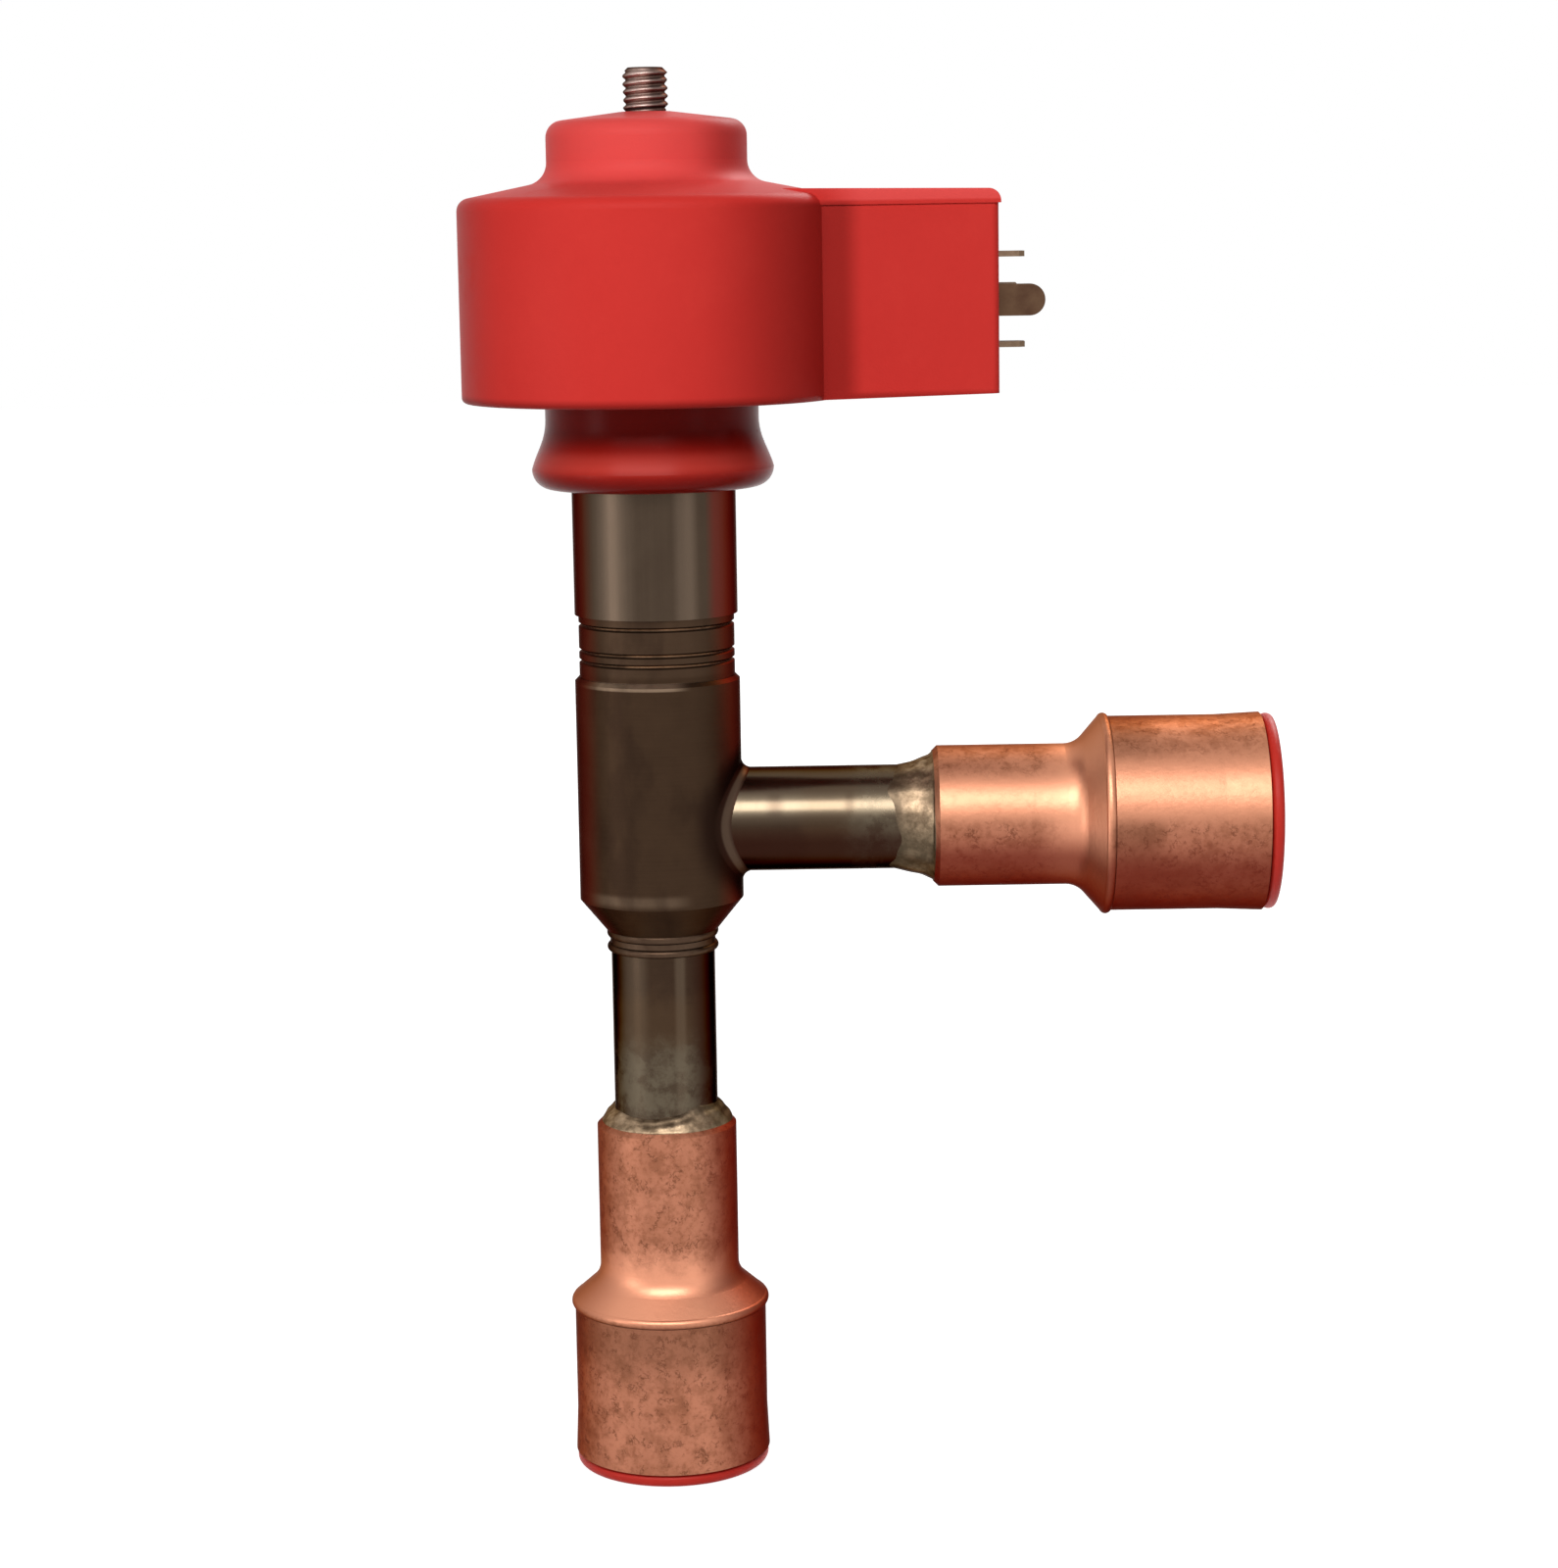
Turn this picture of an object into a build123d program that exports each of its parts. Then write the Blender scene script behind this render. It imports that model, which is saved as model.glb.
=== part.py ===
from build123d import *
import os
from math import sqrt

os.makedirs("parts", exist_ok=True)

# An electronic expansion valve for a refrigerant line, driven by a stepping motor.
# The valve axis is Z, with the outlet socket's mouth at z = 0 and facing down.
# The inlet branch and the coil's plug box point along +X.
# Lengths are millimetres. Radii end in _r, heights on the axis in _z.

# Fits
braze_gap = 0.05        # a tube in the socket that it is brazed or welded into
press_gap = 0.02        # pieces pressed or moulded together
running_gap = 0.08      # a shaft turning or a slider moving in its bore
thread_gap = 0.06       # the lead screw in its nut
coil_gap = 0.10         # the coil slipped over the rotor can
end_gap = 0.10          # end play of what turns or slides, and of the seated coil

# Copper reducers and dust plugs: a 5/8 inch tube socket on a 3/8 inch stub
stub_r = 4.76
stub_wall = 0.9
socket_r = 7.98
socket_depth = 12.6
socket_floor = 2.1      # from the socket's inner end to the outside shoulder
bell_wall = 0.92
mouth_flare = 0.18
mouth_flare_length = 4.0
lip_rise = 0.3
lip_length = 0.9
shoulder_length = 2.6
shoulder_flare_r = 2.2  # the hollow curve from the shoulder into the neck
neck_wall = 1.64
neck_edge = 0.45
outlet_neck_length = 14.2
inlet_neck_length = 12.6
stub_depth = 10.5       # how far a stub reaches into its neck
braze_height = 2.2
braze_spill = 0.07      # braze past the flat of the neck's end
braze_hollow = 0.37     # how full its concave face is, where 0.5 is straight
plug_wall = 1.0
plug_stem_length = 7.0
plug_taper = 0.35
plug_flange = 1.1
plug_overhang = 0.05    # flange past the bell
plug_flange_round = 0.5
plug_stand_off = 0.12
plug_rim = 2.65
plug_dish_depth = 0.35

# Valve body
stub_exposed = 18.0     # outlet stub between its reducer and the body
body_step = 0.1         # body over the rotor can
body_cone_height = 2.9
body_cone_lip = 0.34
body_wall = 1.6
body_edge = 0.35
outlet_seat_depth = 3.1     # outlet stub inside the body
floor_thickness = 1.9
inlet_clearance = 0.19      # between the floor and the branch's bore
inlet_seat_depth = 0.6
inlet_exposed = 19.1        # inlet stub between the valve axis side and its reducer
bead_rise = 0.34
bead_top_rise = 0.27
bead_valley_rise = 0.06
bead_length = 0.75
bead_pitch = 1.25

# Collar between the body and the rotor can
collar_set_in = 0.33    # collar inside the can's outside
collar_height = 5.7
collar_spigot = 3.0
collar_groove = 0.3
collar_groove_width = 0.45
collar_low_groove = 1.3     # the lowest groove above the body
collar_groove_pitch = 0.95
collar_top_groove = 1.1     # the top groove below the can

# Rotor can, its cap and the stud
can_r = 7.4
can_wall = 0.5
can_length = 40.2
cap_thickness = 1.5
cap_edge = 0.5
cap_spigot = 0.6
stud_r = 2.0
stud_length = 6.8
stud_relief = 0.25        # depth of the plain root of the stud, inside the coil's crown
stud_chamfer = 0.45

# Seat, needle and its screw drive
seat_stem_r = 3.6
seat_flange_r = 4.7
seat_flange = 1.2
seat_nose_r = 3.0
seat_nose = 1.3
port_r = 1.6
port_relief_r = 2.6
port_relief = 1.2
seat_bevel = 0.35
needle_r = 1.5
needle_cone = 3.4
needle_tip_r = 0.3
needle_proud = 0.4          # foot of the needle's cone above the seat when shut
needle_flange_r = 2.4
needle_flange = 1.0
needle_shank_r = 1.2
needle_shank = 3.6
needle_stroke = 5.0
carrier_r = 3.8
carrier_flat = 3.1          # half the width across the carrier's two flats
carrier_web = 1.0           # metal between the nut's bore and the needle's shank
carrier_spare = 0.4         # bore past the screw's foot when the valve is open
carrier_foot = 2.0          # carrier below the bush when shut
bush_clearance = 0.09       # bush above the branch's bore
bush_edge = 0.5
screw_r = 1.9
screw_edge = 0.3
screw_engagement = 4.0
journal_step = 0.2
thrust_step = 1.3
thrust_length = 1.0
bearing_length = 3.0
pivot_r = 1.2
pivot_headroom = 0.3        # between the pivot's end and the cap
pivot_bearing_length = 2.2
pivot_lead = 0.8            # pivot below its bearing

# Rotor
magnet_gap = 0.3
magnet_wall = 1.6
magnet_overlap = 0.4        # magnet past each end of the stator
hub_sleeve_wall = 1.18
hub_lift = 1.1              # hub above the screw's thrust collar
hub_pocket = 5.0
hub_rim = 0.6

# Coil: moulded housing
drum_wall = 1.8
drum_edge = 0.5
drum_shoulder_edge = 1.2
shoulder_slope_rise = 1.6
coil_hub_wall = 1.45
coil_hub_root = 2.0
coil_hub_height = 6.7       # the hub's shoulder line above the drum's
coil_hub_edge = 1.5
crown_rise = 0.85
crown_thickness = 2.85
stud_hole_gap = 0.3
base_thickness = 1.6
roof_thickness = 1.3        # from the stator to the drum's shoulder line
box_reach = 13.85           # box past the drum
box_half_width = 7.2
box_rim_height = 1.25
box_rim_rise = 0.2
box_above_drum = 0.6
box_top_fall = 0.25
box_bottom_rise = 0.45
box_corner = 1.1
box_upright_edge = 0.6
box_root = 5.0              # box inside the drum's outline

# Coil: rubber boot and stud seal
boot_neck_wall = 2.12
boot_neck_length = 1.6
boot_flare = 1.3
boot_flare_slope = 0.25     # sideways run of the flare where it meets the lip
boot_length = 7.8
boot_lip_round = 1.75
boot_spigot_wall = 1.12
boot_spigot = 1.0
boot_lead_in = 0.4
boot_contact = 1.4
boot_hollow_wall = 1.2      # wall round the hollow, at the neck
boot_hollow_lip = 1.8       # and at the lip
boot_hollow_step = 0.6
seal_ring_r = 0.72
seal_land = 0.43            # room on each side of the seal ring

# Coil: two stator stages of claw poles, bobbins and windings
stage_height = 7.5
pole_gap = 0.2              # claws behind the coil's bore
pole_plate = 0.8
pole_wall = 0.8
claw_thickness = 0.7
claw_count = 12
claw_base_width = 1.55
claw_tip_width = 0.95
claw_tip_gap = 0.45
bobbin_gap = 0.12
bobbin_wall = 0.55
bobbin_flange = 0.5
bobbin_room = 0.4           # between the bobbin and the cup's wall
winding_depth = 4.21
winding_room = 0.7          # winding below the flange's edge
winding_crown = 0.25

# Connector: four blades round a screw insert
plug_height = 8.5           # connector axis above the coil's underside
blade_pitch = 4.0           # from the connector axis to each blade
blade_width = 2.8
blade_thickness = 0.5
blade_reach = 2.65
earth_reach = 4.25
blade_tail_gap = 0.2        # blade's tail outside the drum's outline
blade_bevel = 0.5
blade_tip_land = 0.02
insert_r = 2.1
insert_length = 8.0
insert_recess = 0.25
insert_bore_r = 1.05
insert_ring_r = 1.75
insert_ring_width = 0.6

# Radii that follow from the fits
bell_r = socket_r + bell_wall
neck_bore_r = stub_r + braze_gap
neck_r = neck_bore_r + neck_wall
can_bore_r = can_r - can_wall
in_can_r = can_bore_r - press_gap
collar_r = can_r - collar_set_in
body_r = can_r + body_step
body_cone_end_r = neck_bore_r + body_cone_lip
chamber_r = body_r - body_wall
bush_r = chamber_r - press_gap
magnet_r = can_bore_r - magnet_gap
magnet_bore_r = magnet_r - magnet_wall
journal_r = screw_r + journal_step
thrust_r = journal_r + thrust_step
stud_relief_r = stud_r - stud_relief
stud_hole_r = stud_r + stud_hole_gap
coil_bore_r = can_r + coil_gap
coil_hub_r = coil_bore_r + coil_hub_wall
stator_bore_r = coil_bore_r + pole_gap
bobbin_bore_r = stator_bore_r + claw_thickness + bobbin_gap
bobbin_r = bobbin_bore_r + bobbin_wall
winding_r = bobbin_r + press_gap + winding_depth
bobbin_flange_r = winding_r + winding_room
stator_r = bobbin_flange_r + bobbin_room + pole_wall
drum_r = stator_r + drum_wall
boot_bore_r = can_r + running_gap
boot_spigot_r = boot_bore_r + boot_spigot_wall
boot_neck_r = boot_bore_r + boot_neck_wall
boot_lip_r = boot_neck_r + boot_flare
quarter_arc = 1 - sqrt(0.5)     # a quarter circle's middle, from its square corner, in radii

# Heights on the valve axis. The body is as long as its guide bush asks.
bell_length = socket_depth + socket_floor
shoulder_top_z = bell_length + shoulder_length
outlet_neck_top_z = shoulder_top_z + outlet_neck_length
body_z = outlet_neck_top_z + stub_exposed
floor_bottom_z = body_z + outlet_seat_depth
floor_z = floor_bottom_z + floor_thickness
inlet_z = floor_z + inlet_clearance + neck_bore_r
bush_z = inlet_z + neck_bore_r + bush_clearance
carrier_length = needle_shank + carrier_web + screw_engagement + needle_stroke + carrier_spare
bush_length = needle_stroke + 2 * end_gap + carrier_length - carrier_foot
body_top_z = bush_z + bush_length - collar_spigot - collar_height
can_z = body_top_z + collar_height
collar_top_z = can_z + collar_spigot
bearing_top_z = collar_top_z + bearing_length
can_top_z = can_z + can_length
cap_top_z = can_top_z + cap_thickness
stud_top_z = cap_top_z + stud_length
seat_z = floor_z + seat_flange + seat_nose
pivot_bearing_z = can_top_z - cap_spigot - pivot_bearing_length
pivot_top_z = can_top_z - cap_spigot - pivot_headroom

# The coil hangs from its crown, which rests on the can's cap
crown_inside_z = cap_top_z + end_gap
crown_z = crown_inside_z + crown_thickness
stud_thread_z = crown_z + press_gap
hub_shoulder_z = crown_z - crown_rise
slope_foot_z = hub_shoulder_z - coil_hub_height
slope_head_z = slope_foot_z + shoulder_slope_rise
stator_top_z = slope_foot_z - roof_thickness
stator_z = stator_top_z - 2 * stage_height
coil_z = stator_z - base_thickness
plug_z = coil_z + plug_height

# The needle hangs closed on its seat, and its carrier stops short of the bearing
carrier_top_z = collar_top_z - needle_stroke - 2 * end_gap
carrier_z = carrier_top_z - carrier_length
needle_flange_z = carrier_z - needle_flange
needle_cone_z = seat_z + needle_proud
screw_z = carrier_top_z - screw_engagement
thrust_z = bearing_top_z + end_gap
pivot_z = pivot_bearing_z - pivot_lead
magnet_z = stator_z - magnet_overlap
magnet_top_z = stator_top_z + magnet_overlap
hub_z = thrust_z + thrust_length + hub_lift

# The branch, measured along X from the valve axis
inlet_neck_x = sqrt(body_r**2 - stub_r**2) + inlet_exposed
inlet_mouth_x = inlet_neck_x + inlet_neck_length + shoulder_length + bell_length
inlet_inner_x = sqrt(body_r**2 - stub_r**2) - inlet_seat_depth

# Each pipe end has a plane with its origin at the mouth and its normal looking out
outlet_mouth = Plane(origin=(0, 0, 0), x_dir=(1, 0, 0), z_dir=(0, 0, -1))
inlet_mouth = Plane(origin=(inlet_mouth_x, 0, inlet_z), x_dir=(0, 0, -1), z_dir=(1, 0, 0))


def profile_plane(mouth):
    """The plane of a turned profile: x is the radius and y runs from the mouth inwards."""
    return Plane(origin=mouth.origin, x_dir=mouth.x_dir, z_dir=mouth.x_dir.cross(-mouth.z_dir))


def finish(solid, name):
    """Label a finished piece and write it out."""
    solid.label = name
    export_step(solid, f"parts/{name}.step")


def round_corner(sketch, corner, radius):
    """Round the corner of the open sketch that lies at a point, in the sketch's own x and y."""
    nearest = sketch.vertices().sort_by_distance((corner[0], corner[1], 0))[0]
    fillet(nearest, radius)


def tube(plane, outer_r, wall, length):
    """A plain tube that starts at a plane and follows its normal."""
    with BuildPart() as made:
        with BuildSketch(plane):
            Circle(outer_r)
            Circle(outer_r - wall, mode=Mode.SUBTRACT)
        extrude(amount=length)
    return made.part


# Copper reducers
def reducer(mouth, neck_length):
    """A belled socket, a coned shoulder with a rolled lip, and a neck over the steel stub."""
    plane = profile_plane(mouth)
    total = bell_length + shoulder_length + neck_length
    cone_fall = shoulder_length - neck_edge
    with BuildPart() as made:
        with BuildSketch(plane) as profile:
            with BuildLine():
                Polyline(
                    (socket_r, 0),
                    (bell_r + mouth_flare, 0),
                    (bell_r, mouth_flare_length),
                    (bell_r, bell_length - lip_length),
                )
                ThreePointArc(
                    (bell_r, bell_length - lip_length),
                    (bell_r + lip_rise, bell_length - lip_length / 2),
                    (bell_r, bell_length),
                )
                Polyline(
                    (bell_r, bell_length),
                    (neck_r, bell_length + cone_fall),
                    (neck_r, total - neck_edge),
                    (neck_r - neck_edge, total),
                    (neck_bore_r, total),
                    (neck_bore_r, socket_depth + cone_fall),
                    (socket_r, socket_depth),
                    (socket_r, 0),
                )
            make_face()
            round_corner(profile, (neck_r, bell_length + cone_fall), shoulder_flare_r)
        revolve(axis=Axis(plane.origin, plane.y_dir))
    return made.part


outlet_adaptor = reducer(outlet_mouth, outlet_neck_length)
finish(outlet_adaptor, "outlet_adaptor")
inlet_adaptor = reducer(inlet_mouth, inlet_neck_length)
finish(inlet_adaptor, "inlet_adaptor")


# Braze fillets where the stubs leave the necks
def braze_ring(mouth, neck_length):
    """A concave fillet of braze on the neck's end face, round the stub."""
    plane = profile_plane(mouth)
    start = bell_length + shoulder_length + neck_length
    inner_r = stub_r + press_gap
    width = neck_r - neck_edge + braze_spill - inner_r
    with BuildPart() as made:
        with BuildSketch(plane):
            with BuildLine():
                Line((inner_r, start + braze_height), (inner_r, start))
                Line((inner_r, start), (inner_r + width, start))
                ThreePointArc(
                    (inner_r + width, start),
                    (inner_r + width * braze_hollow, start + braze_height * braze_hollow),
                    (inner_r, start + braze_height),
                )
            make_face()
        revolve(axis=Axis(plane.origin, plane.y_dir))
    return made.part


outlet_braze_ring = braze_ring(outlet_mouth, outlet_neck_length)
finish(outlet_braze_ring, "outlet_braze_ring")
inlet_braze_ring = braze_ring(inlet_mouth, inlet_neck_length)
finish(inlet_braze_ring, "inlet_braze_ring")


# Dust plugs
def dust_plug(mouth):
    """A push-in cap: a hollow tapered stem in the socket, and a dished flange over its mouth."""
    plane = profile_plane(mouth)
    stem_r = socket_r - running_gap
    stem_tip_r = stem_r - plug_taper
    flange_r = bell_r + plug_overhang
    dish_r = flange_r - plug_rim
    face = -plug_stand_off - plug_flange
    with BuildPart() as made:
        with BuildSketch(plane):
            with BuildLine():
                Polyline(
                    (0, face + plug_dish_depth),
                    (dish_r, face + plug_dish_depth),
                    (dish_r + plug_dish_depth, face),
                    (flange_r, face),
                    (flange_r, -plug_stand_off),
                    (stem_r, -plug_stand_off),
                    (stem_tip_r, plug_stem_length),
                    (stem_tip_r - plug_wall, plug_stem_length),
                    (stem_r - plug_wall, face + plug_dish_depth + plug_wall),
                    (0, face + plug_dish_depth + plug_wall),
                    close=True,
                )
            make_face()
        revolve(axis=Axis(plane.origin, plane.y_dir))
        fillet(made.edges().filter_by(GeomType.CIRCLE).group_by(SortBy.RADIUS)[-1], plug_flange_round)
    return made.part


outlet_plug = dust_plug(outlet_mouth)
finish(outlet_plug, "outlet_plug")
inlet_plug = dust_plug(inlet_mouth)
finish(inlet_plug, "inlet_plug")


# Steel stubs
outlet_stub_z = outlet_neck_top_z - stub_depth
outlet_tube = tube(Plane.XY.offset(outlet_stub_z), stub_r, stub_wall, floor_bottom_z - outlet_stub_z)
finish(outlet_tube, "outlet_tube")

inlet_start = Plane(origin=(inlet_inner_x, 0, inlet_z), x_dir=(0, 1, 0), z_dir=(1, 0, 0))
inlet_length = inlet_neck_x + stub_depth - inlet_inner_x
inlet_tube = tube(inlet_start, stub_r, stub_wall, inlet_length)
finish(inlet_tube, "inlet_tube")

# Weld bead under the body: two low ridges round the outlet stub
bead_inner_r = stub_r + press_gap
bead_top_z = body_z
bead_foot_z = bead_top_z - bead_pitch - bead_length
with BuildPart() as outlet_weld_bead:
    with BuildSketch(Plane.XZ):
        with BuildLine():
            Line((bead_inner_r, bead_top_z), (bead_inner_r, bead_foot_z))
            ThreePointArc(
                (bead_inner_r, bead_foot_z),
                (bead_inner_r + bead_rise, bead_foot_z + bead_length / 2),
                (bead_inner_r + bead_valley_rise, bead_foot_z + bead_length),
            )
            Line(
                (bead_inner_r + bead_valley_rise, bead_foot_z + bead_length),
                (bead_inner_r + bead_valley_rise, bead_top_z - bead_length),
            )
            ThreePointArc(
                (bead_inner_r + bead_valley_rise, bead_top_z - bead_length),
                (bead_inner_r + bead_rise, bead_top_z - bead_length / 2),
                (bead_inner_r + bead_top_rise, bead_top_z),
            )
            Line((bead_inner_r + bead_top_rise, bead_top_z), (bead_inner_r, bead_top_z))
        make_face()
    revolve(axis=Axis.Z)
finish(outlet_weld_bead.part, "outlet_weld_bead")

# Valve body: a turned tee with a floor that carries the seat
with BuildPart() as valve_body:
    with BuildSketch(Plane.XZ):
        Polygon(
            (neck_bore_r, body_z),
            (body_cone_end_r, body_z),
            (body_r, body_z + body_cone_height),
            (body_r, body_top_z - body_edge),
            (body_r - body_edge, body_top_z),
            (chamber_r, body_top_z),
            (chamber_r, floor_z),
            (seat_stem_r, floor_z),
            (seat_stem_r, floor_bottom_z),
            (neck_bore_r, floor_bottom_z),
            align=None,
        )
    revolve(axis=Axis.Z)
    with BuildSketch(Plane(origin=(0, 0, inlet_z), x_dir=(0, 1, 0), z_dir=(1, 0, 0))):
        Circle(stub_r + braze_gap)
    extrude(amount=body_r + 1, mode=Mode.SUBTRACT)
finish(valve_body.part, "valve_body")

# Collar welded on the body, with turned grooves and the can's spigot
collar_grooves_z = (
    body_top_z + collar_low_groove,
    body_top_z + collar_low_groove + collar_groove_pitch,
    can_z - collar_top_groove,
)
with BuildPart() as body_collar:
    with BuildSketch(Plane.XZ):
        Polygon(
            (chamber_r, body_top_z),
            (collar_r, body_top_z),
            (collar_r, can_z),
            (in_can_r, can_z),
            (in_can_r, collar_top_z),
            (chamber_r, collar_top_z),
            align=None,
        )
        for groove_low in collar_grooves_z:
            groove_high = groove_low + collar_groove_width
            Polygon(
                (collar_r, groove_low),
                (collar_r - collar_groove, (groove_low + groove_high) / 2),
                (collar_r, groove_high),
                align=None,
                mode=Mode.SUBTRACT,
            )
    revolve(axis=Axis.Z)
finish(body_collar.part, "body_collar")

# Rotor can and its cap with the fixing stud
rotor_can = tube(Plane.XY.offset(can_z), can_r, can_wall, can_length)
finish(rotor_can, "rotor_can")

with BuildPart() as can_cap:
    with BuildSketch(Plane.XZ):
        Polygon(
            (0, can_top_z - cap_spigot),
            (in_can_r, can_top_z - cap_spigot),
            (in_can_r, can_top_z),
            (can_r, can_top_z),
            (can_r, cap_top_z - cap_edge),
            (can_r - cap_edge, cap_top_z),
            (stud_relief_r, cap_top_z),
            (stud_relief_r, stud_thread_z),
            (stud_r, stud_thread_z),
            (stud_r, stud_top_z - stud_chamfer),
            (stud_r - stud_chamfer, stud_top_z),
            (0, stud_top_z),
            align=None,
        )
    revolve(axis=Axis.Z)
finish(can_cap.part, "can_cap")

# Seat insert pressed in the body's floor
with BuildPart() as seat_insert:
    with BuildSketch(Plane.XZ):
        Polygon(
            (port_relief_r, floor_bottom_z),
            (seat_stem_r - press_gap, floor_bottom_z),
            (seat_stem_r - press_gap, floor_z),
            (seat_flange_r, floor_z),
            (seat_flange_r, floor_z + seat_flange),
            (seat_nose_r, floor_z + seat_flange),
            (seat_nose_r, seat_z),
            (port_r + seat_bevel, seat_z),
            (port_r, seat_z - seat_bevel),
            (port_r, floor_bottom_z + port_relief),
            (port_relief_r, floor_bottom_z + port_relief),
            align=None,
        )
    revolve(axis=Axis.Z)
finish(seat_insert.part, "seat_insert")


# Needle guide: the bush's bore and the carrier share one outline with two flats
def flatted_outline(radius, half_flat):
    """A circle with two flats across Y, drawn in the sketch that is open."""
    Circle(radius)
    Rectangle(2 * radius, 2 * half_flat, mode=Mode.INTERSECT)


with BuildPart() as guide_bush:
    with BuildSketch(Plane.XY.offset(bush_z)):
        Circle(bush_r)
    extrude(amount=bush_length)
    with BuildSketch(Plane.XY.offset(bush_z)):
        flatted_outline(carrier_r + running_gap, carrier_flat + running_gap)
    extrude(amount=bush_length, mode=Mode.SUBTRACT)
    chamfer(guide_bush.faces().sort_by(Axis.Z)[0].outer_wire().edges(), bush_edge)
finish(guide_bush.part, "guide_bush")

with BuildPart() as needle_carrier:
    with BuildSketch(Plane.XY.offset(carrier_z)):
        flatted_outline(carrier_r, carrier_flat)
    extrude(amount=carrier_length)
    with BuildSketch(Plane.XY.offset(carrier_top_z)):
        Circle(screw_r + thread_gap)
    extrude(amount=-(carrier_length - needle_shank - carrier_web), mode=Mode.SUBTRACT)
    with BuildSketch(Plane.XY.offset(carrier_z)):
        Circle(needle_shank_r + press_gap)
    extrude(amount=needle_shank, mode=Mode.SUBTRACT)
finish(needle_carrier.part, "needle_carrier")

with BuildPart() as valve_needle:
    with BuildSketch(Plane.XZ):
        Polygon(
            (0, needle_cone_z - needle_cone),
            (needle_tip_r, needle_cone_z - needle_cone),
            (needle_r, needle_cone_z),
            (needle_r, needle_flange_z),
            (needle_flange_r, needle_flange_z),
            (needle_flange_r, carrier_z),
            (needle_shank_r, carrier_z),
            (needle_shank_r, carrier_z + needle_shank - end_gap),
            (0, carrier_z + needle_shank - end_gap),
            align=None,
        )
    revolve(axis=Axis.Z)
finish(valve_needle.part, "valve_needle")

# Lead screw, from the nut in the carrier up to the pivot under the cap
with BuildPart() as lead_screw:
    with BuildSketch(Plane.XZ):
        Polygon(
            (0, screw_z),
            (screw_r - screw_edge, screw_z),
            (screw_r, screw_z + screw_edge),
            (screw_r, collar_top_z),
            (journal_r, collar_top_z),
            (journal_r, thrust_z),
            (thrust_r, thrust_z),
            (thrust_r, thrust_z + thrust_length),
            (journal_r, thrust_z + thrust_length),
            (journal_r, pivot_z),
            (pivot_r, pivot_z),
            (pivot_r, pivot_top_z),
            (0, pivot_top_z),
            align=None,
        )
    revolve(axis=Axis.Z)
finish(lead_screw.part, "lead_screw")


def bearing_bush(low_z, length, shaft_r):
    """A plain bearing bush pressed in the rotor can."""
    outer_wall = in_can_r - shaft_r - running_gap
    return tube(Plane.XY.offset(low_z), in_can_r, outer_wall, length)


lower_bearing = bearing_bush(collar_top_z, bearing_length, journal_r)
finish(lower_bearing, "lower_bearing")
upper_bearing = bearing_bush(pivot_bearing_z, pivot_bearing_length, pivot_r)
finish(upper_bearing, "upper_bearing")

# Rotor: ring magnet on a moulded hub
rotor_magnet = tube(Plane.XY.offset(magnet_z), magnet_r, magnet_wall, magnet_top_z - magnet_z)
finish(rotor_magnet, "rotor_magnet")

hub_bore_r = journal_r + press_gap
hub_sleeve_r = hub_bore_r + hub_sleeve_wall
hub_r = magnet_bore_r - press_gap
with BuildPart() as rotor_hub:
    with BuildSketch(Plane.XZ):
        Polygon(
            (hub_bore_r, hub_z),
            (hub_sleeve_r, hub_z),
            (hub_sleeve_r, magnet_z + hub_pocket),
            (hub_r - hub_rim, magnet_z + hub_pocket),
            (hub_r - hub_rim, magnet_z),
            (hub_r, magnet_z),
            (hub_r, magnet_top_z),
            (hub_r - hub_rim, magnet_top_z),
            (hub_r - hub_rim, magnet_top_z - hub_pocket),
            (hub_sleeve_r, magnet_top_z - hub_pocket),
            (hub_sleeve_r, magnet_top_z),
            (hub_bore_r, magnet_top_z),
            align=None,
        )
    revolve(axis=Axis.Z)
finish(rotor_hub.part, "rotor_hub")


# Connector blades, and the same outline for their pockets in the moulding
box_face_x = drum_r + box_reach
box_root_x = drum_r - box_root
blade_tail_x = drum_r + blade_tail_gap


def blade(offset_y, offset_z, flat_normal, reach, tip_round):
    """A flat tab along X, with its flat facing Y or Z and a beveled or rounded tip."""
    tip_x = box_face_x + reach
    centre = (0, offset_y, plug_z + offset_z)
    across = (0, 0, 1) if flat_normal == "y" else (0, 1, 0)
    facing = Vector(1, 0, 0).cross(Vector(across))
    side = blade_width / 2
    middle = (blade_tail_x + tip_x) / 2
    with BuildPart() as made:
        with BuildSketch(Plane(origin=centre, x_dir=(1, 0, 0), z_dir=facing)) as outline:
            with Locations((middle, 0)):
                Rectangle(tip_x - blade_tail_x, blade_width)
            tip_corners = outline.vertices().group_by(Axis.X)[-1]
            if tip_round:
                fillet(tip_corners, side - blade_tip_land)
            else:
                chamfer(tip_corners, blade_bevel)
        extrude(amount=blade_thickness / 2, both=True)
    return made.part


upper_blade = blade(0, blade_pitch, "z", blade_reach, False)
lower_blade = blade(0, -blade_pitch, "z", blade_reach, False)
earth_blade = blade(-blade_pitch, 0, "y", earth_reach, True)
rear_blade = blade(blade_pitch, 0, "y", blade_reach, False)
finish(upper_blade, "upper_blade")
finish(lower_blade, "lower_blade")
finish(earth_blade, "earth_blade")
finish(rear_blade, "rear_blade")

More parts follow.
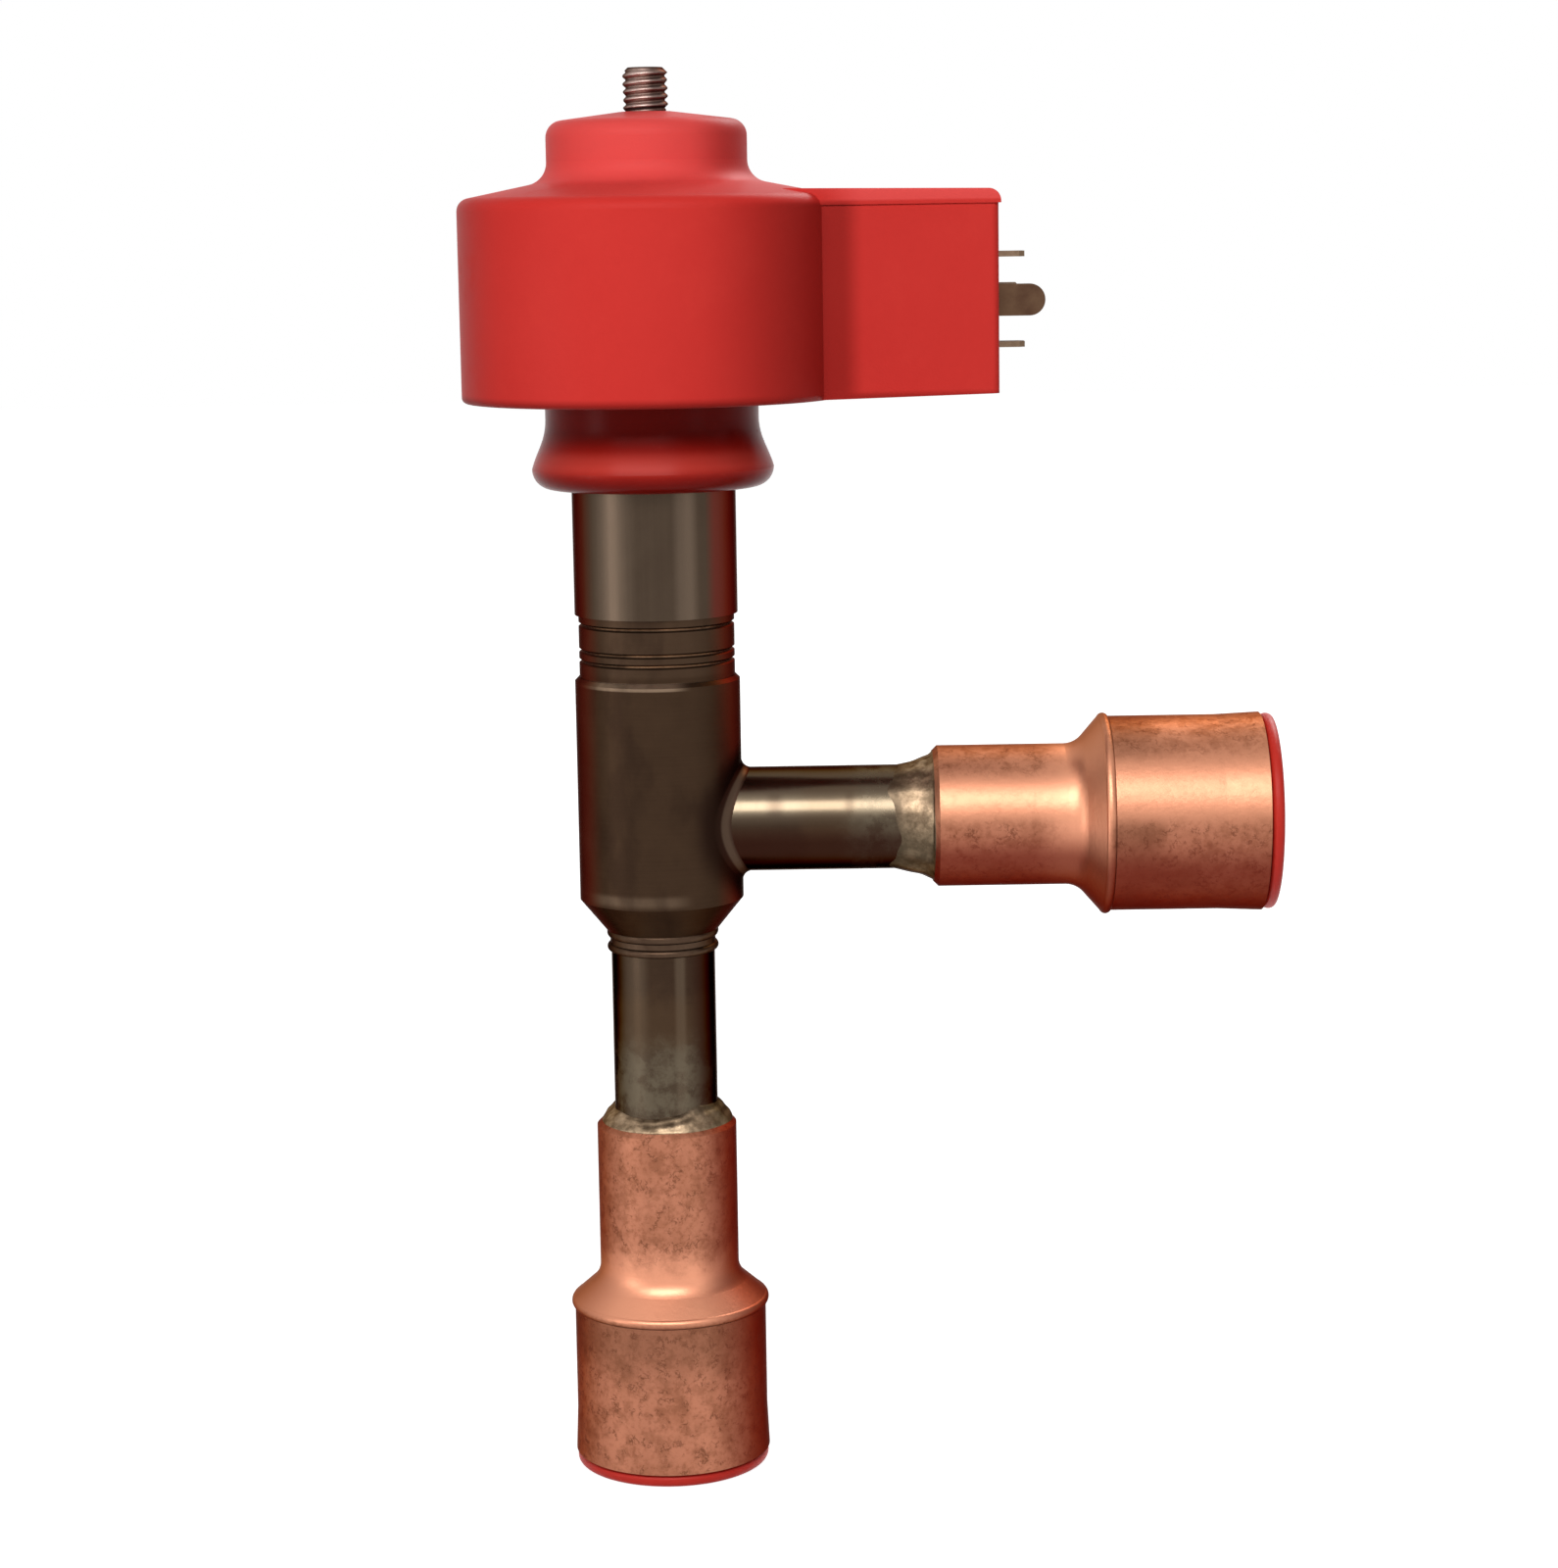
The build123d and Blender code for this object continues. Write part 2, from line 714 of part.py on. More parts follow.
# Threaded insert for the plug's centre screw
insert_end_x = box_face_x - insert_recess
insert_start = Plane(origin=(insert_end_x - insert_length, 0, plug_z), x_dir=(0, 1, 0), z_dir=(1, 0, 0))
with BuildPart() as plug_screw_insert:
    with BuildSketch(insert_start):
        Circle(insert_r - press_gap)
        Circle(insert_bore_r, mode=Mode.SUBTRACT)
    extrude(amount=insert_length)
    with BuildSketch(insert_start.offset(insert_length / 2 - insert_ring_width / 2)):
        Circle(insert_r)
        Circle(insert_ring_r, mode=Mode.SUBTRACT)
    extrude(amount=insert_ring_width, mode=Mode.SUBTRACT)
finish(plug_screw_insert.part, "plug_screw_insert")

# Coil housing: drum, hub and plug box moulded as one
seal_path_r = stud_hole_r + seal_land + seal_ring_r
seal_groove_r = seal_path_r + seal_ring_r + seal_land
seal_groove_z = crown_inside_z + 2 * seal_ring_r - end_gap
box_top_z = slope_foot_z + box_above_drum
box_edge_z = box_top_z - box_top_fall       # the top where it meets the end face


def box_plan(half_width):
    """The plug box seen from above: a rectangle with its two outer corners rounded."""
    with BuildSketch(Plane.XY.offset(coil_z)) as plan:
        with Locations((box_root_x, 0)):
            Rectangle(box_face_x - box_root_x, 2 * half_width, align=(Align.MIN, Align.CENTER))
        fillet(plan.vertices().group_by(Axis.X)[-1], box_upright_edge)
    return plan.sketch


with BuildPart() as plug_box:
    # a shallow draft on its underside and top
    with BuildSketch(Plane.XZ) as box_side:
        Polygon(
            (box_root_x, coil_z),
            (box_face_x, coil_z + box_bottom_rise),
            (box_face_x, box_edge_z),
            (box_root_x, box_top_z),
            align=None,
        )
        round_corner(box_side, (box_face_x, box_edge_z), box_corner)
    extrude(amount=box_half_width, both=True)
    add(box_plan(box_half_width))
    extrude(amount=box_top_z - coil_z, mode=Mode.INTERSECT)

with BuildPart() as plug_box_rim:
    # the proud rim along its top edge
    with BuildSketch(Plane.XZ) as rim_side:
        Polygon(
            (box_root_x, box_edge_z - box_rim_height),
            (box_face_x + box_rim_rise, box_edge_z - box_rim_height),
            (box_face_x + box_rim_rise, box_edge_z),
            (box_root_x, box_top_z),
            align=None,
        )
        round_corner(rim_side, (box_face_x + box_rim_rise, box_edge_z), box_corner)
    extrude(amount=box_half_width + box_rim_rise, both=True)

drum_corners = (
    ((drum_r, coil_z), drum_edge),
    ((drum_r, slope_foot_z), drum_shoulder_edge),
    ((coil_hub_r, slope_head_z), coil_hub_root),
    ((coil_hub_r, hub_shoulder_z), coil_hub_edge),
)
with BuildPart() as stator_housing:
    with BuildSketch(Plane.XZ) as drum_profile:
        Polygon(
            (0, coil_z),
            (drum_r, coil_z),
            (drum_r, slope_foot_z),
            (coil_hub_r, slope_head_z),
            (coil_hub_r, hub_shoulder_z),
            (stud_hole_r, crown_z),
            (0, crown_z),
            align=None,
        )
        for corner, radius in drum_corners:
            round_corner(drum_profile, corner, radius)
    revolve(axis=Axis.Z)
    add(plug_box.part)
    add(plug_box_rim.part)
    # bore, stator space, boot recess and stud hole
    with BuildSketch(Plane.XZ):
        Polygon(
            (0, coil_z - 1),
            (boot_spigot_r, coil_z - 1),
            (boot_spigot_r, coil_z + boot_spigot),
            (coil_bore_r, coil_z + boot_spigot),
            (coil_bore_r, stator_z),
            (stator_r, stator_z),
            (stator_r, stator_top_z),
            (coil_bore_r, stator_top_z),
            (coil_bore_r, crown_inside_z),
            (seal_groove_r, crown_inside_z),
            (seal_groove_r, seal_groove_z),
            (stud_hole_r, seal_groove_z),
            (stud_hole_r, crown_z + 1),
            (0, crown_z + 1),
            align=None,
        )
    revolve(axis=Axis.Z, mode=Mode.SUBTRACT)
    # pockets for the blades and the insert
    add(upper_blade, mode=Mode.SUBTRACT)
    add(lower_blade, mode=Mode.SUBTRACT)
    add(earth_blade, mode=Mode.SUBTRACT)
    add(rear_blade, mode=Mode.SUBTRACT)
    with BuildSketch(insert_start):
        Circle(insert_r)
    extrude(amount=insert_length + 1, mode=Mode.SUBTRACT)
finish(stator_housing.part, "stator_housing")

# Rubber boot that seals the coil's lower end on the can
boot_top_z = coil_z + boot_spigot
boot_z = coil_z - boot_length
flare_z = coil_z - boot_neck_length
lip_z = boot_z + boot_lip_round
with BuildPart() as lower_boot:
    with BuildSketch(Plane.XZ):
        with BuildLine():
            Polyline(
                (boot_bore_r, boot_top_z),
                (boot_spigot_r - press_gap, boot_top_z),
                (boot_spigot_r - press_gap, coil_z),
                (boot_neck_r, coil_z),
                (boot_neck_r, flare_z),
            )
            Spline(
                (boot_neck_r, flare_z),
                (boot_lip_r, lip_z),
                tangents=[(0, -1), (boot_flare_slope, -1)],
            )
            ThreePointArc(
                (boot_lip_r, lip_z),
                (boot_lip_r - boot_lip_round * quarter_arc, boot_z + boot_lip_round * quarter_arc),
                (boot_lip_r - boot_lip_round, boot_z),
            )
            Polyline(
                (boot_lip_r - boot_lip_round, boot_z),
                (boot_bore_r, boot_z + boot_lead_in),
                (boot_bore_r, boot_z + boot_contact),
                (boot_lip_r - boot_hollow_lip, lip_z + boot_hollow_step),
                (boot_neck_r - boot_hollow_wall, flare_z - boot_hollow_step),
                (boot_bore_r, flare_z + 2 * boot_hollow_step),
                (boot_bore_r, boot_top_z),
            )
        make_face()
    revolve(axis=Axis.Z)
finish(lower_boot.part, "lower_boot")

# Seal ring round the stud, under the crown
with BuildPart() as stud_seal_ring:
    with BuildSketch(Plane.XZ):
        with Locations((seal_path_r, cap_top_z + seal_ring_r + press_gap)):
            Circle(seal_ring_r - press_gap)
    revolve(axis=Axis.Z)
finish(stud_seal_ring.part, "stud_seal_ring")


# Stator stages: each has a cup and a ring whose claws reach past each other
def claw_teeth(base_z, tip_z, turn):
    """A ring of tapered claws round the bore, from base_z to tip_z, turned by an angle."""
    low_z = min(base_z, tip_z)
    with BuildPart() as claw:
        with BuildSketch(Plane.YZ):
            Polygon(
                (-claw_base_width / 2, base_z),
                (claw_base_width / 2, base_z),
                (claw_tip_width / 2, tip_z),
                (-claw_tip_width / 2, tip_z),
                align=None,
            )
        extrude(amount=stator_bore_r + 2 * claw_thickness)
        with BuildSketch(Plane.XY.offset(low_z)):
            Circle(stator_bore_r + claw_thickness)
            Circle(stator_bore_r, mode=Mode.SUBTRACT)
        extrude(amount=abs(tip_z - base_z), mode=Mode.INTERSECT)
    with BuildPart() as ring:
        with PolarLocations(0, claw_count, start_angle=turn):
            add(claw.part)
    return ring.part


def pole_cup(closed_z, way, turn):
    """A pressed cup: plate, outer wall and claws. way is 1 if it opens upwards, else -1."""
    plate_z = closed_z + way * pole_plate
    open_z = closed_z + way * stage_height
    tip_z = open_z - way * (pole_plate + claw_tip_gap)
    wall_r = stator_r - press_gap
    with BuildPart() as made:
        with BuildSketch(Plane.XZ):
            Polygon(
                (stator_bore_r, closed_z),
                (wall_r, closed_z),
                (wall_r, open_z),
                (wall_r - pole_wall, open_z),
                (wall_r - pole_wall, plate_z),
                (stator_bore_r, plate_z),
                align=None,
            )
        revolve(axis=Axis.Z)
        add(claw_teeth(plate_z, tip_z, turn))
    return made.part


def pole_ring(outer_z, way, turn):
    """A pressed ring that closes a cup: a plate with claws. way is the claws' direction."""
    plate_z = outer_z + way * pole_plate
    tip_z = outer_z + way * (stage_height - pole_plate - claw_tip_gap)
    plate_r = stator_r - pole_wall - 2 * press_gap
    with BuildPart() as made:
        with BuildSketch(Plane.XY.offset(min(outer_z, plate_z))):
            Circle(plate_r)
            Circle(stator_bore_r, mode=Mode.SUBTRACT)
        extrude(amount=pole_plate)
        add(claw_teeth(plate_z, tip_z, turn))
    return made.part


claw_pitch = 360 / claw_count
stage_joint_z = stator_z + stage_height
lower_cup = pole_cup(stator_z, 1, 0)
finish(lower_cup, "lower_cup")
lower_claw_ring = pole_ring(stage_joint_z, -1, claw_pitch / 2)
finish(lower_claw_ring, "lower_claw_ring")
upper_claw_ring = pole_ring(stage_joint_z, 1, claw_pitch / 4)
finish(upper_claw_ring, "upper_claw_ring")
upper_cup = pole_cup(stator_top_z, -1, claw_pitch * 3 / 4)
finish(upper_cup, "upper_cup")

# Bobbins and windings, one pair in each stage
bobbin_height = stage_height - 2 * pole_plate - 2 * press_gap


def bobbin(low_z):
    """A moulded spool with two flanges."""
    high_z = low_z + bobbin_height
    with BuildPart() as made:
        with BuildSketch(Plane.XZ):
            Polygon(
                (bobbin_bore_r, low_z),
                (bobbin_flange_r, low_z),
                (bobbin_flange_r, low_z + bobbin_flange),
                (bobbin_r, low_z + bobbin_flange),
                (bobbin_r, high_z - bobbin_flange),
                (bobbin_flange_r, high_z - bobbin_flange),
                (bobbin_flange_r, high_z),
                (bobbin_bore_r, high_z),
                align=None,
            )
        revolve(axis=Axis.Z)
    return made.part


def winding(low_z):
    """The wound copper as one closed ring between the flanges, a little full in the middle."""
    start_z = low_z + bobbin_flange + press_gap
    end_z = low_z + bobbin_height - bobbin_flange - press_gap
    inner_r = bobbin_r + press_gap
    edge_r = winding_r - winding_crown
    with BuildPart() as made:
        with BuildSketch(Plane.XZ):
            with BuildLine():
                Polyline((edge_r, start_z), (inner_r, start_z), (inner_r, end_z), (edge_r, end_z))
                ThreePointArc(
                    (edge_r, end_z),
                    (winding_r, (start_z + end_z) / 2),
                    (edge_r, start_z),
                )
            make_face()
        revolve(axis=Axis.Z)
    return made.part


lower_bobbin_z = stator_z + pole_plate + press_gap
upper_bobbin_z = stage_joint_z + pole_plate + press_gap
lower_bobbin = bobbin(lower_bobbin_z)
finish(lower_bobbin, "lower_bobbin")
upper_bobbin = bobbin(upper_bobbin_z)
finish(upper_bobbin, "upper_bobbin")
lower_winding = winding(lower_bobbin_z)
finish(lower_winding, "lower_winding")
upper_winding = winding(upper_bobbin_z)
finish(upper_winding, "upper_winding")

print(f"inlet mouth x {inlet_mouth_x:.3f}, inlet axis z {inlet_z:.3f}, stud top z {stud_top_z:.3f}")
print(f"coil underside z {coil_z:.3f}, connector axis z {plug_z:.3f}, crown z {crown_z:.3f}")
print(f"needle cone z {needle_cone_z:.3f}, seat z {seat_z:.3f}, screw foot z {screw_z:.3f}")
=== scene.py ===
# %% [markdown]
# # An electronic expansion valve
#
# This notebook dresses a refrigerant valve: a red moulded coil sits over a steel rotor can,
# below it comes a turned steel body, and its two pipe ends carry copper reducers that are closed
# with red dust plugs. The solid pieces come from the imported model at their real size. This file
# gives each of them its finish, and makes the few surfaces that are too fine for solids: the
# thread of the fixing stud, the beads of braze and the weld round the branch.
#
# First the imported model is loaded. Its nodes keep their places, and everything below is
# worked out from them, in metres.

# %% Load the model
from math import cos, pi, radians, sin, sqrt

import bpy
import numpy as np
from mathutils import Matrix, Vector


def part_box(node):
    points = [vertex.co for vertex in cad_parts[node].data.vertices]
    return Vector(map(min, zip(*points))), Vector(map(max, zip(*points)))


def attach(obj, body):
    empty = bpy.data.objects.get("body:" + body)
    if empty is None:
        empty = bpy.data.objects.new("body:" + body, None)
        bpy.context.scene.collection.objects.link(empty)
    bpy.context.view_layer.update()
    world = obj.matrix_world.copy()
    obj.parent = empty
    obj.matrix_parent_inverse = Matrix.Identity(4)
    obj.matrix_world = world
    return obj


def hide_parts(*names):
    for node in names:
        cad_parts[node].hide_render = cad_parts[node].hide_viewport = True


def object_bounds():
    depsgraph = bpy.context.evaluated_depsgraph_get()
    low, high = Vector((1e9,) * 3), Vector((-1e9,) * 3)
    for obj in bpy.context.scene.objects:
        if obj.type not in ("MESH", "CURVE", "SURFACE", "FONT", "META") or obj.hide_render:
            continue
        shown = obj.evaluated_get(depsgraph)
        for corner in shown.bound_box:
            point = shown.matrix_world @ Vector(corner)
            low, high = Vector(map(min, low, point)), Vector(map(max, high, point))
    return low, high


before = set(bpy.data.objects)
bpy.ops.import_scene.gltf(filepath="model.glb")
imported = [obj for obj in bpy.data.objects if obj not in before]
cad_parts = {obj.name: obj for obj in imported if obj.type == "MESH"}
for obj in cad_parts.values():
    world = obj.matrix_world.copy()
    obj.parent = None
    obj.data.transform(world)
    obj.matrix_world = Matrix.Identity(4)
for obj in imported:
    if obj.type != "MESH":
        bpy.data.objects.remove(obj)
cad_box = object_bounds()
mm = 0.001

# %% [markdown]
# ## The camera
#
# The picture was taken from a little above the coil with a fairly long lens, so the drum's
# underside is just hidden and the lower pipe is seen from higher up than the coil. A camera
# could be placed by eye, but here it is written as the few numbers that a photographer would
# give: what it looks at, from how far, how far down it tilts and how much it is rolled.

# %% Camera
look_at = Vector((10.9, 0, 62.65)) * mm
camera_distance = 322.9 * mm
tilt_down = radians(9.08)
roll = radians(0.9)

level_up = Vector((0, sin(tilt_down), cos(tilt_down)))
back = Vector((0, -cos(tilt_down), sin(tilt_down)))
level_right = Vector((1, 0, 0))
right = level_right * cos(roll) - level_up * sin(roll)
up = level_right * sin(roll) + level_up * cos(roll)

camera = bpy.data.objects.new("camera", bpy.data.cameras.new("camera"))
bpy.context.scene.collection.objects.link(camera)
bpy.context.scene.camera = camera
camera.data.sensor_width = 36
camera.data.lens = 81.07
camera.data.clip_start = 0.01
place = look_at + back * camera_distance
turn = Matrix((right, up, back)).transposed()
camera.matrix_world = Matrix.Translation(place) @ turn.to_4x4()
print("camera at", [round(c, 4) for c in place])

# %% [markdown]
# ## Writing shader maths as Python
#
# A material is a graph of nodes, and wiring one by hand hides what it works out. Here a small
# class wraps one socket and answers to + - * and /, so that `1 - mask` adds the Math node that
# it stands for. A second class holds the material being made: its one method `node` adds any
# other node, with its settings first and then the values or links of its sockets.

# %% A value in a material, and the finish that it belongs to


class Value:
    """One socket of a finish. Arithmetic on it adds Math nodes."""

    def __init__(self, finish, socket):
        self.finish = finish
        self.socket = socket

    def math(self, operation, first, second):
        return self.finish.node("ShaderNodeMath", {"operation": operation}, {0: first, 1: second})

    def __add__(self, other):
        return self.math("ADD", self, other)

    __radd__ = __add__

    def __sub__(self, other):
        return self.math("SUBTRACT", self, other)

    def __rsub__(self, other):
        return self.math("SUBTRACT", other, self)

    def __mul__(self, other):
        return self.math("MULTIPLY", self, other)

    __rmul__ = __mul__

    def __truediv__(self, other):
        return self.math("DIVIDE", self, other)

    def __abs__(self):
        return self.math("ABSOLUTE", self, 0)


class Finish:
    """A material while it is being made, with its pattern coordinates in millimetres."""

    def __init__(self, name):
        self.material = bpy.data.materials.new(name)
        self.material.use_nodes = True
        self.tree = self.material.node_tree
        self.tree.nodes.clear()
        place = self.node("ShaderNodeTexCoord", output="Object")
        self.place = self.node("ShaderNodeVectorMath", {"operation": "SCALE"}, {0: place, "Scale": 1 / mm})

    def node(self, kind, settings=(), sockets=(), output=0):
        """Add a node: settings first, then the value or link of each socket."""
        made = self.tree.nodes.new(kind)
        for key, value in dict(settings).items():
            setattr(made, key, value)
        for key, value in dict(sockets).items():
            if isinstance(value, Value):
                self.tree.links.new(value.socket, made.inputs[key])
            else:
                made.inputs[key].default_value = value
        return Value(self, made.outputs[output]) if made.outputs else None

    def axis(self, letter):
        """One coordinate of the surface point, in millimetres."""
        return self.node("ShaderNodeSeparateXYZ", {}, {0: self.place}, output=letter)

    def noise(self, scale, stretch=(1, 1, 1), shift=0, detail=2, roughness=0.5, warp=0):
        """Cloudy noise from 0 to 1, scale in waves per millimetre, drawn out along an axis
        whose stretch is small."""
        spread = {0: self.place, 1: tuple(scale * s for s in stretch), 2: (shift, 2 * shift, -shift)}
        where = self.node("ShaderNodeVectorMath", {"operation": "MULTIPLY_ADD"}, spread)
        cloud = {"Vector": where, "Scale": 1, "Detail": detail, "Roughness": roughness, "Distortion": warp}
        return self.node("ShaderNodeTexNoise", {}, cloud, output=0)

    def step(self, value, low, high):
        """0 below low and 1 above high, with a smooth rise between. low may be the larger."""
        sockets = {0: value, 1: low, 2: high}
        return self.node("ShaderNodeMapRange", {"interpolation_type": "SMOOTHSTEP"}, sockets)

    def band(self, value, low, high, soft):
        """1 between low and high, fading to 0 over soft on each side."""
        return self.step(value, low - soft, low) * self.step(value, high + soft, high)

    def across(self, along, centre=0):
        """How far the point lies from an axis towards +X for an upright piece, or downwards
        for a level one whose axis lies along X at the height centre."""
        return self.axis("X") if along == "Z" else centre - self.axis("Z")

    def radius(self, along, centre=0):
        """The distance from the axis: the root of the two squares across it."""
        towards = self.across(along, centre)
        depth = self.axis("Y")
        return self.node("ShaderNodeMath", {"operation": "SQRT"}, {0: towards * towards + depth * depth})

    def side(self, along, centre=0):
        """The cosine of the angle round the axis: 1 on the +X side of an upright piece, or
        underneath a level one."""
        return self.across(along, centre) / self.radius(along, centre)

    def mix(self, factor, first, second):
        """The first colour where factor is 0, the second where it is 1."""
        sockets = {0: factor, 6: first, 7: second}
        return self.node("ShaderNodeMix", {"data_type": "RGBA"}, sockets, output=2)

    def surface(self, colour, roughness, metallic=0, height=None, bump_depth=0.05, **constants):
        """The shader itself. height is a pattern from 0 to 1 that bumps by bump_depth mm."""
        sockets = {"Base Color": colour, "Roughness": roughness, "Metallic": metallic}
        if metallic:
            sockets["Specular Tint"] = (0.25, 0.2, 0.18, 1)
        if height is not None:
            relief = {"Height": height, "Distance": bump_depth * mm, "Strength": 1}
            sockets["Normal"] = self.node("ShaderNodeBump", {}, relief)
        for words, value in constants.items():
            sockets[words.replace("_", " ").title().replace("Ior", "IOR")] = value
        shader = self.node("ShaderNodeBsdfPrincipled", {}, sockets)
        self.node("ShaderNodeOutputMaterial", {}, {"Surface": shader})
        return self.material


def colour(red, green, blue):
    """A colour of 0 to 255, as seen on a screen, as the linear values that shaders take."""
    seen = np.array([red, green, blue]) / 255
    linear = np.where(seen <= 0.04045, seen / 12.92, ((seen + 0.055) / 1.055) ** 2.4)
    return (*linear.tolist(), 1)


print("red of 128 is", round(colour(128, 0, 0)[0], 3), "in linear light")

# %% [markdown]
# ## Floor, backdrop and lamps
#
# The valve is shown on plain white. Flooding it with light would wash out the copper, so the
# white comes from the world and the floor themselves: rays that go to the camera, or that
# glossy metal sends out, see white, while the light that falls on the valve stays moderate.
# The floor keeps a faint shadow, because only part of its white is its own. The lamps are a
# soft one from the front and above, a small one beside it that runs a bright line along the
# branch, and two tall narrow ones that draw upright bands on the can, as windows do.

# %% World and floor
white = (1, 1, 1, 1)
world_glow = 0.04
floor_glow_near = (0.88, 0.88, 0.88, 1)
floor_z = cad_box[0].z - 0.05 * mm
floor_size = 4.0


def seen_as_backdrop(tree):
    """A 0 or 1 socket that is 1 for camera, glossy and transmission rays."""
    path = tree.nodes.new("ShaderNodeLightPath")
    total = path.outputs["Is Camera Ray"]
    for ray in ("Is Glossy Ray", "Is Transmission Ray"):
        either = tree.nodes.new("ShaderNodeMath")
        either.operation = "MAXIMUM"
        tree.links.new(total, either.inputs[0])
        tree.links.new(path.outputs[ray], either.inputs[1])
        total = either.outputs[0]
    return total


world = bpy.data.worlds.new("white studio")
bpy.context.scene.world = world
world.use_nodes = True
world.node_tree.nodes.clear()
ambient = world.node_tree.nodes.new("ShaderNodeBackground")
ambient.inputs["Strength"].default_value = world_glow
backdrop = world.node_tree.nodes.new("ShaderNodeBackground")
backdrop.inputs["Color"].default_value = white
choice = world.node_tree.nodes.new("ShaderNodeMixShader")
world_out = world.node_tree.nodes.new("ShaderNodeOutputWorld")
world.node_tree.links.new(seen_as_backdrop(world.node_tree), choice.inputs[0])
world.node_tree.links.new(ambient.outputs[0], choice.inputs[1])
world.node_tree.links.new(backdrop.outputs[0], choice.inputs[2])
world.node_tree.links.new(choice.outputs[0], world_out.inputs[0])

floor_mesh = bpy.data.meshes.new("floor")
half = floor_size / 2
floor_corners = [(-half, -half, floor_z), (half, -half, floor_z), (half, half, floor_z), (-half, half, floor_z)]
floor_mesh.from_pydata(floor_corners, [], [(0, 1, 2, 3)])
floor = bpy.data.objects.new("floor", floor_mesh)
bpy.context.scene.collection.objects.link(floor)

floor_finish = Finish("floor white")
paper = floor_finish.node("ShaderNodeBsdfDiffuse", {}, {"Color": (0.6, 0.6, 0.6, 1)})
reach = floor_finish.node("ShaderNodeVectorMath", {"operation": "LENGTH"}, {0: floor_finish.place}, output="Value")
glow_colour = floor_finish.mix(floor_finish.step(reach, 130, 420), floor_glow_near, white)
glow = floor_finish.node("ShaderNodeEmission", {}, {"Color": glow_colour, "Strength": 1})
lit_paper = floor_finish.node("ShaderNodeAddShader", {}, {0: paper, 1: glow})
backdrop_ray = Value(floor_finish, seen_as_backdrop(floor_finish.tree))
floor_shader = floor_finish.node("ShaderNodeMixShader", {}, {0: backdrop_ray, 1: paper, 2: lit_paper})
floor_finish.node("ShaderNodeOutputMaterial", {}, {"Surface": floor_shader})
floor.data.materials.append(floor_finish.material)

bpy.context.scene.view_settings.view_transform = "Standard"
print("floor at", round(floor_z / mm, 2), "mm")

# %% Lamps


def softbox(name, azimuth, elevation, distance, size, watts):
    """A rectangular lamp that looks at the valve's middle. Azimuth 0 is the camera's side and
    a positive one is to its right."""
    lamp = bpy.data.lights.new(name, "AREA")
    lamp.shape = "RECTANGLE"
    lamp.size, lamp.size_y = size
    lamp.energy = watts
    side = radians(azimuth)
    height = radians(elevation)
    away = Vector((sin(side) * cos(height), -cos(side) * cos(height), sin(height)))
    holder = bpy.data.objects.new(name, lamp)
    bpy.context.scene.collection.objects.link(holder)
    holder.location = look_at + away * distance
    holder.rotation_euler = away.to_track_quat("Z", "Y").to_euler()
    return holder


softbox("key_lamp", -12, 36, 0.285, (0.26, 0.10), 0.58)
softbox("branch_lamp", 17, 36, 0.285, (0.07, 0.10), 0.06)
softbox("left_strip", -61, 2, 0.30, (0.08, 0.16), 0.11)
softbox("right_strip", 48, 2, 0.32, (0.03, 0.16), 0.025)
softbox("back_lamp", 150, 40, 0.80, (0.40, 0.30), 2.8)

# %% [markdown]
# ## Finishes: the red moulding, the boot and the plugs
#
# The coil is moulded in a filled red plastic with a satin face. A flat red would look like a
# toy, so the colour drifts a little where the melt flowed, the gloss varies, and a fine grain
# bumps the surface. The boot is rubber: darker, smoother and more glossy, with faint dust.

# %% Red plastics and rubber


def coil_plastic():
    """Satin red moulding: slow colour drift, a fine grain and a few worn matt patches, with painted
    light on the hub, the shoulder and the top edge of the box, and painted shade along the lower
    edge, towards the corner between drum and box and, weaker, on the flanks of drum and hub."""
    finish = Finish("coil red moulding")
    drift = finish.noise(0.09, detail=3)
    grain = finish.noise(5.0, detail=3, shift=3)
    rubbed_and_highlight = finish.step(finish.noise(0.22, detail=5, roughness=0.65, shift=7), 0.52, 0.72)
    height = finish.axis("Z")
    along_box = finish.axis("X")
    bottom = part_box("stator_housing")[0].z / mm
    # Painted light: the top edge of the box, the shoulder and the hub are made paler.
    box_edge_highlight = finish.step(along_box, 15.0, 19.5) * finish.step(height, 115.0, 115.3)
    painted_top_light = finish.step(height, 115.3, 118.2) + box_edge_highlight * (1 - finish.step(height, 116.2, 117.0))
    # Painted shade: darker towards the corner between drum and box, on the right of the hub, on the left of the
    # drum and along the lower edge.
    corner = finish.step(along_box, 4.0, 16.6) * finish.step(along_box, 19.2, 17.0)
    corner = corner * finish.step(height, 115.4, 114.8)
    flank_shade = 0.36 * finish.step(along_box, 3.8, 7.5) * finish.step(height, 117.0, 118.4)
    flank_shade = flank_shade + 0.25 * finish.step(along_box, -12.5, -17.0) * finish.step(height, 117.0, 116.0)
    lower_and_corner_shade = 0.6 * corner + 0.6 * finish.step(height, bottom + 0.95, bottom + 0.25) * (1 - corner)
    base = finish.mix(drift, colour(201, 47, 42), colour(209, 55, 49))
    base = finish.mix(rubbed_and_highlight * 0.12, base, colour(220, 66, 56))
    base = finish.mix(0.6 * painted_top_light, base, colour(240, 90, 87))
    base = finish.mix(lower_and_corner_shade + flank_shade, base, colour(112, 16, 10))
    roughness = 0.42 + 0.08 * grain + 0.08 * rubbed_and_highlight
    return finish.surface(base, roughness, height=grain, bump_depth=0.012, ior=1.15)


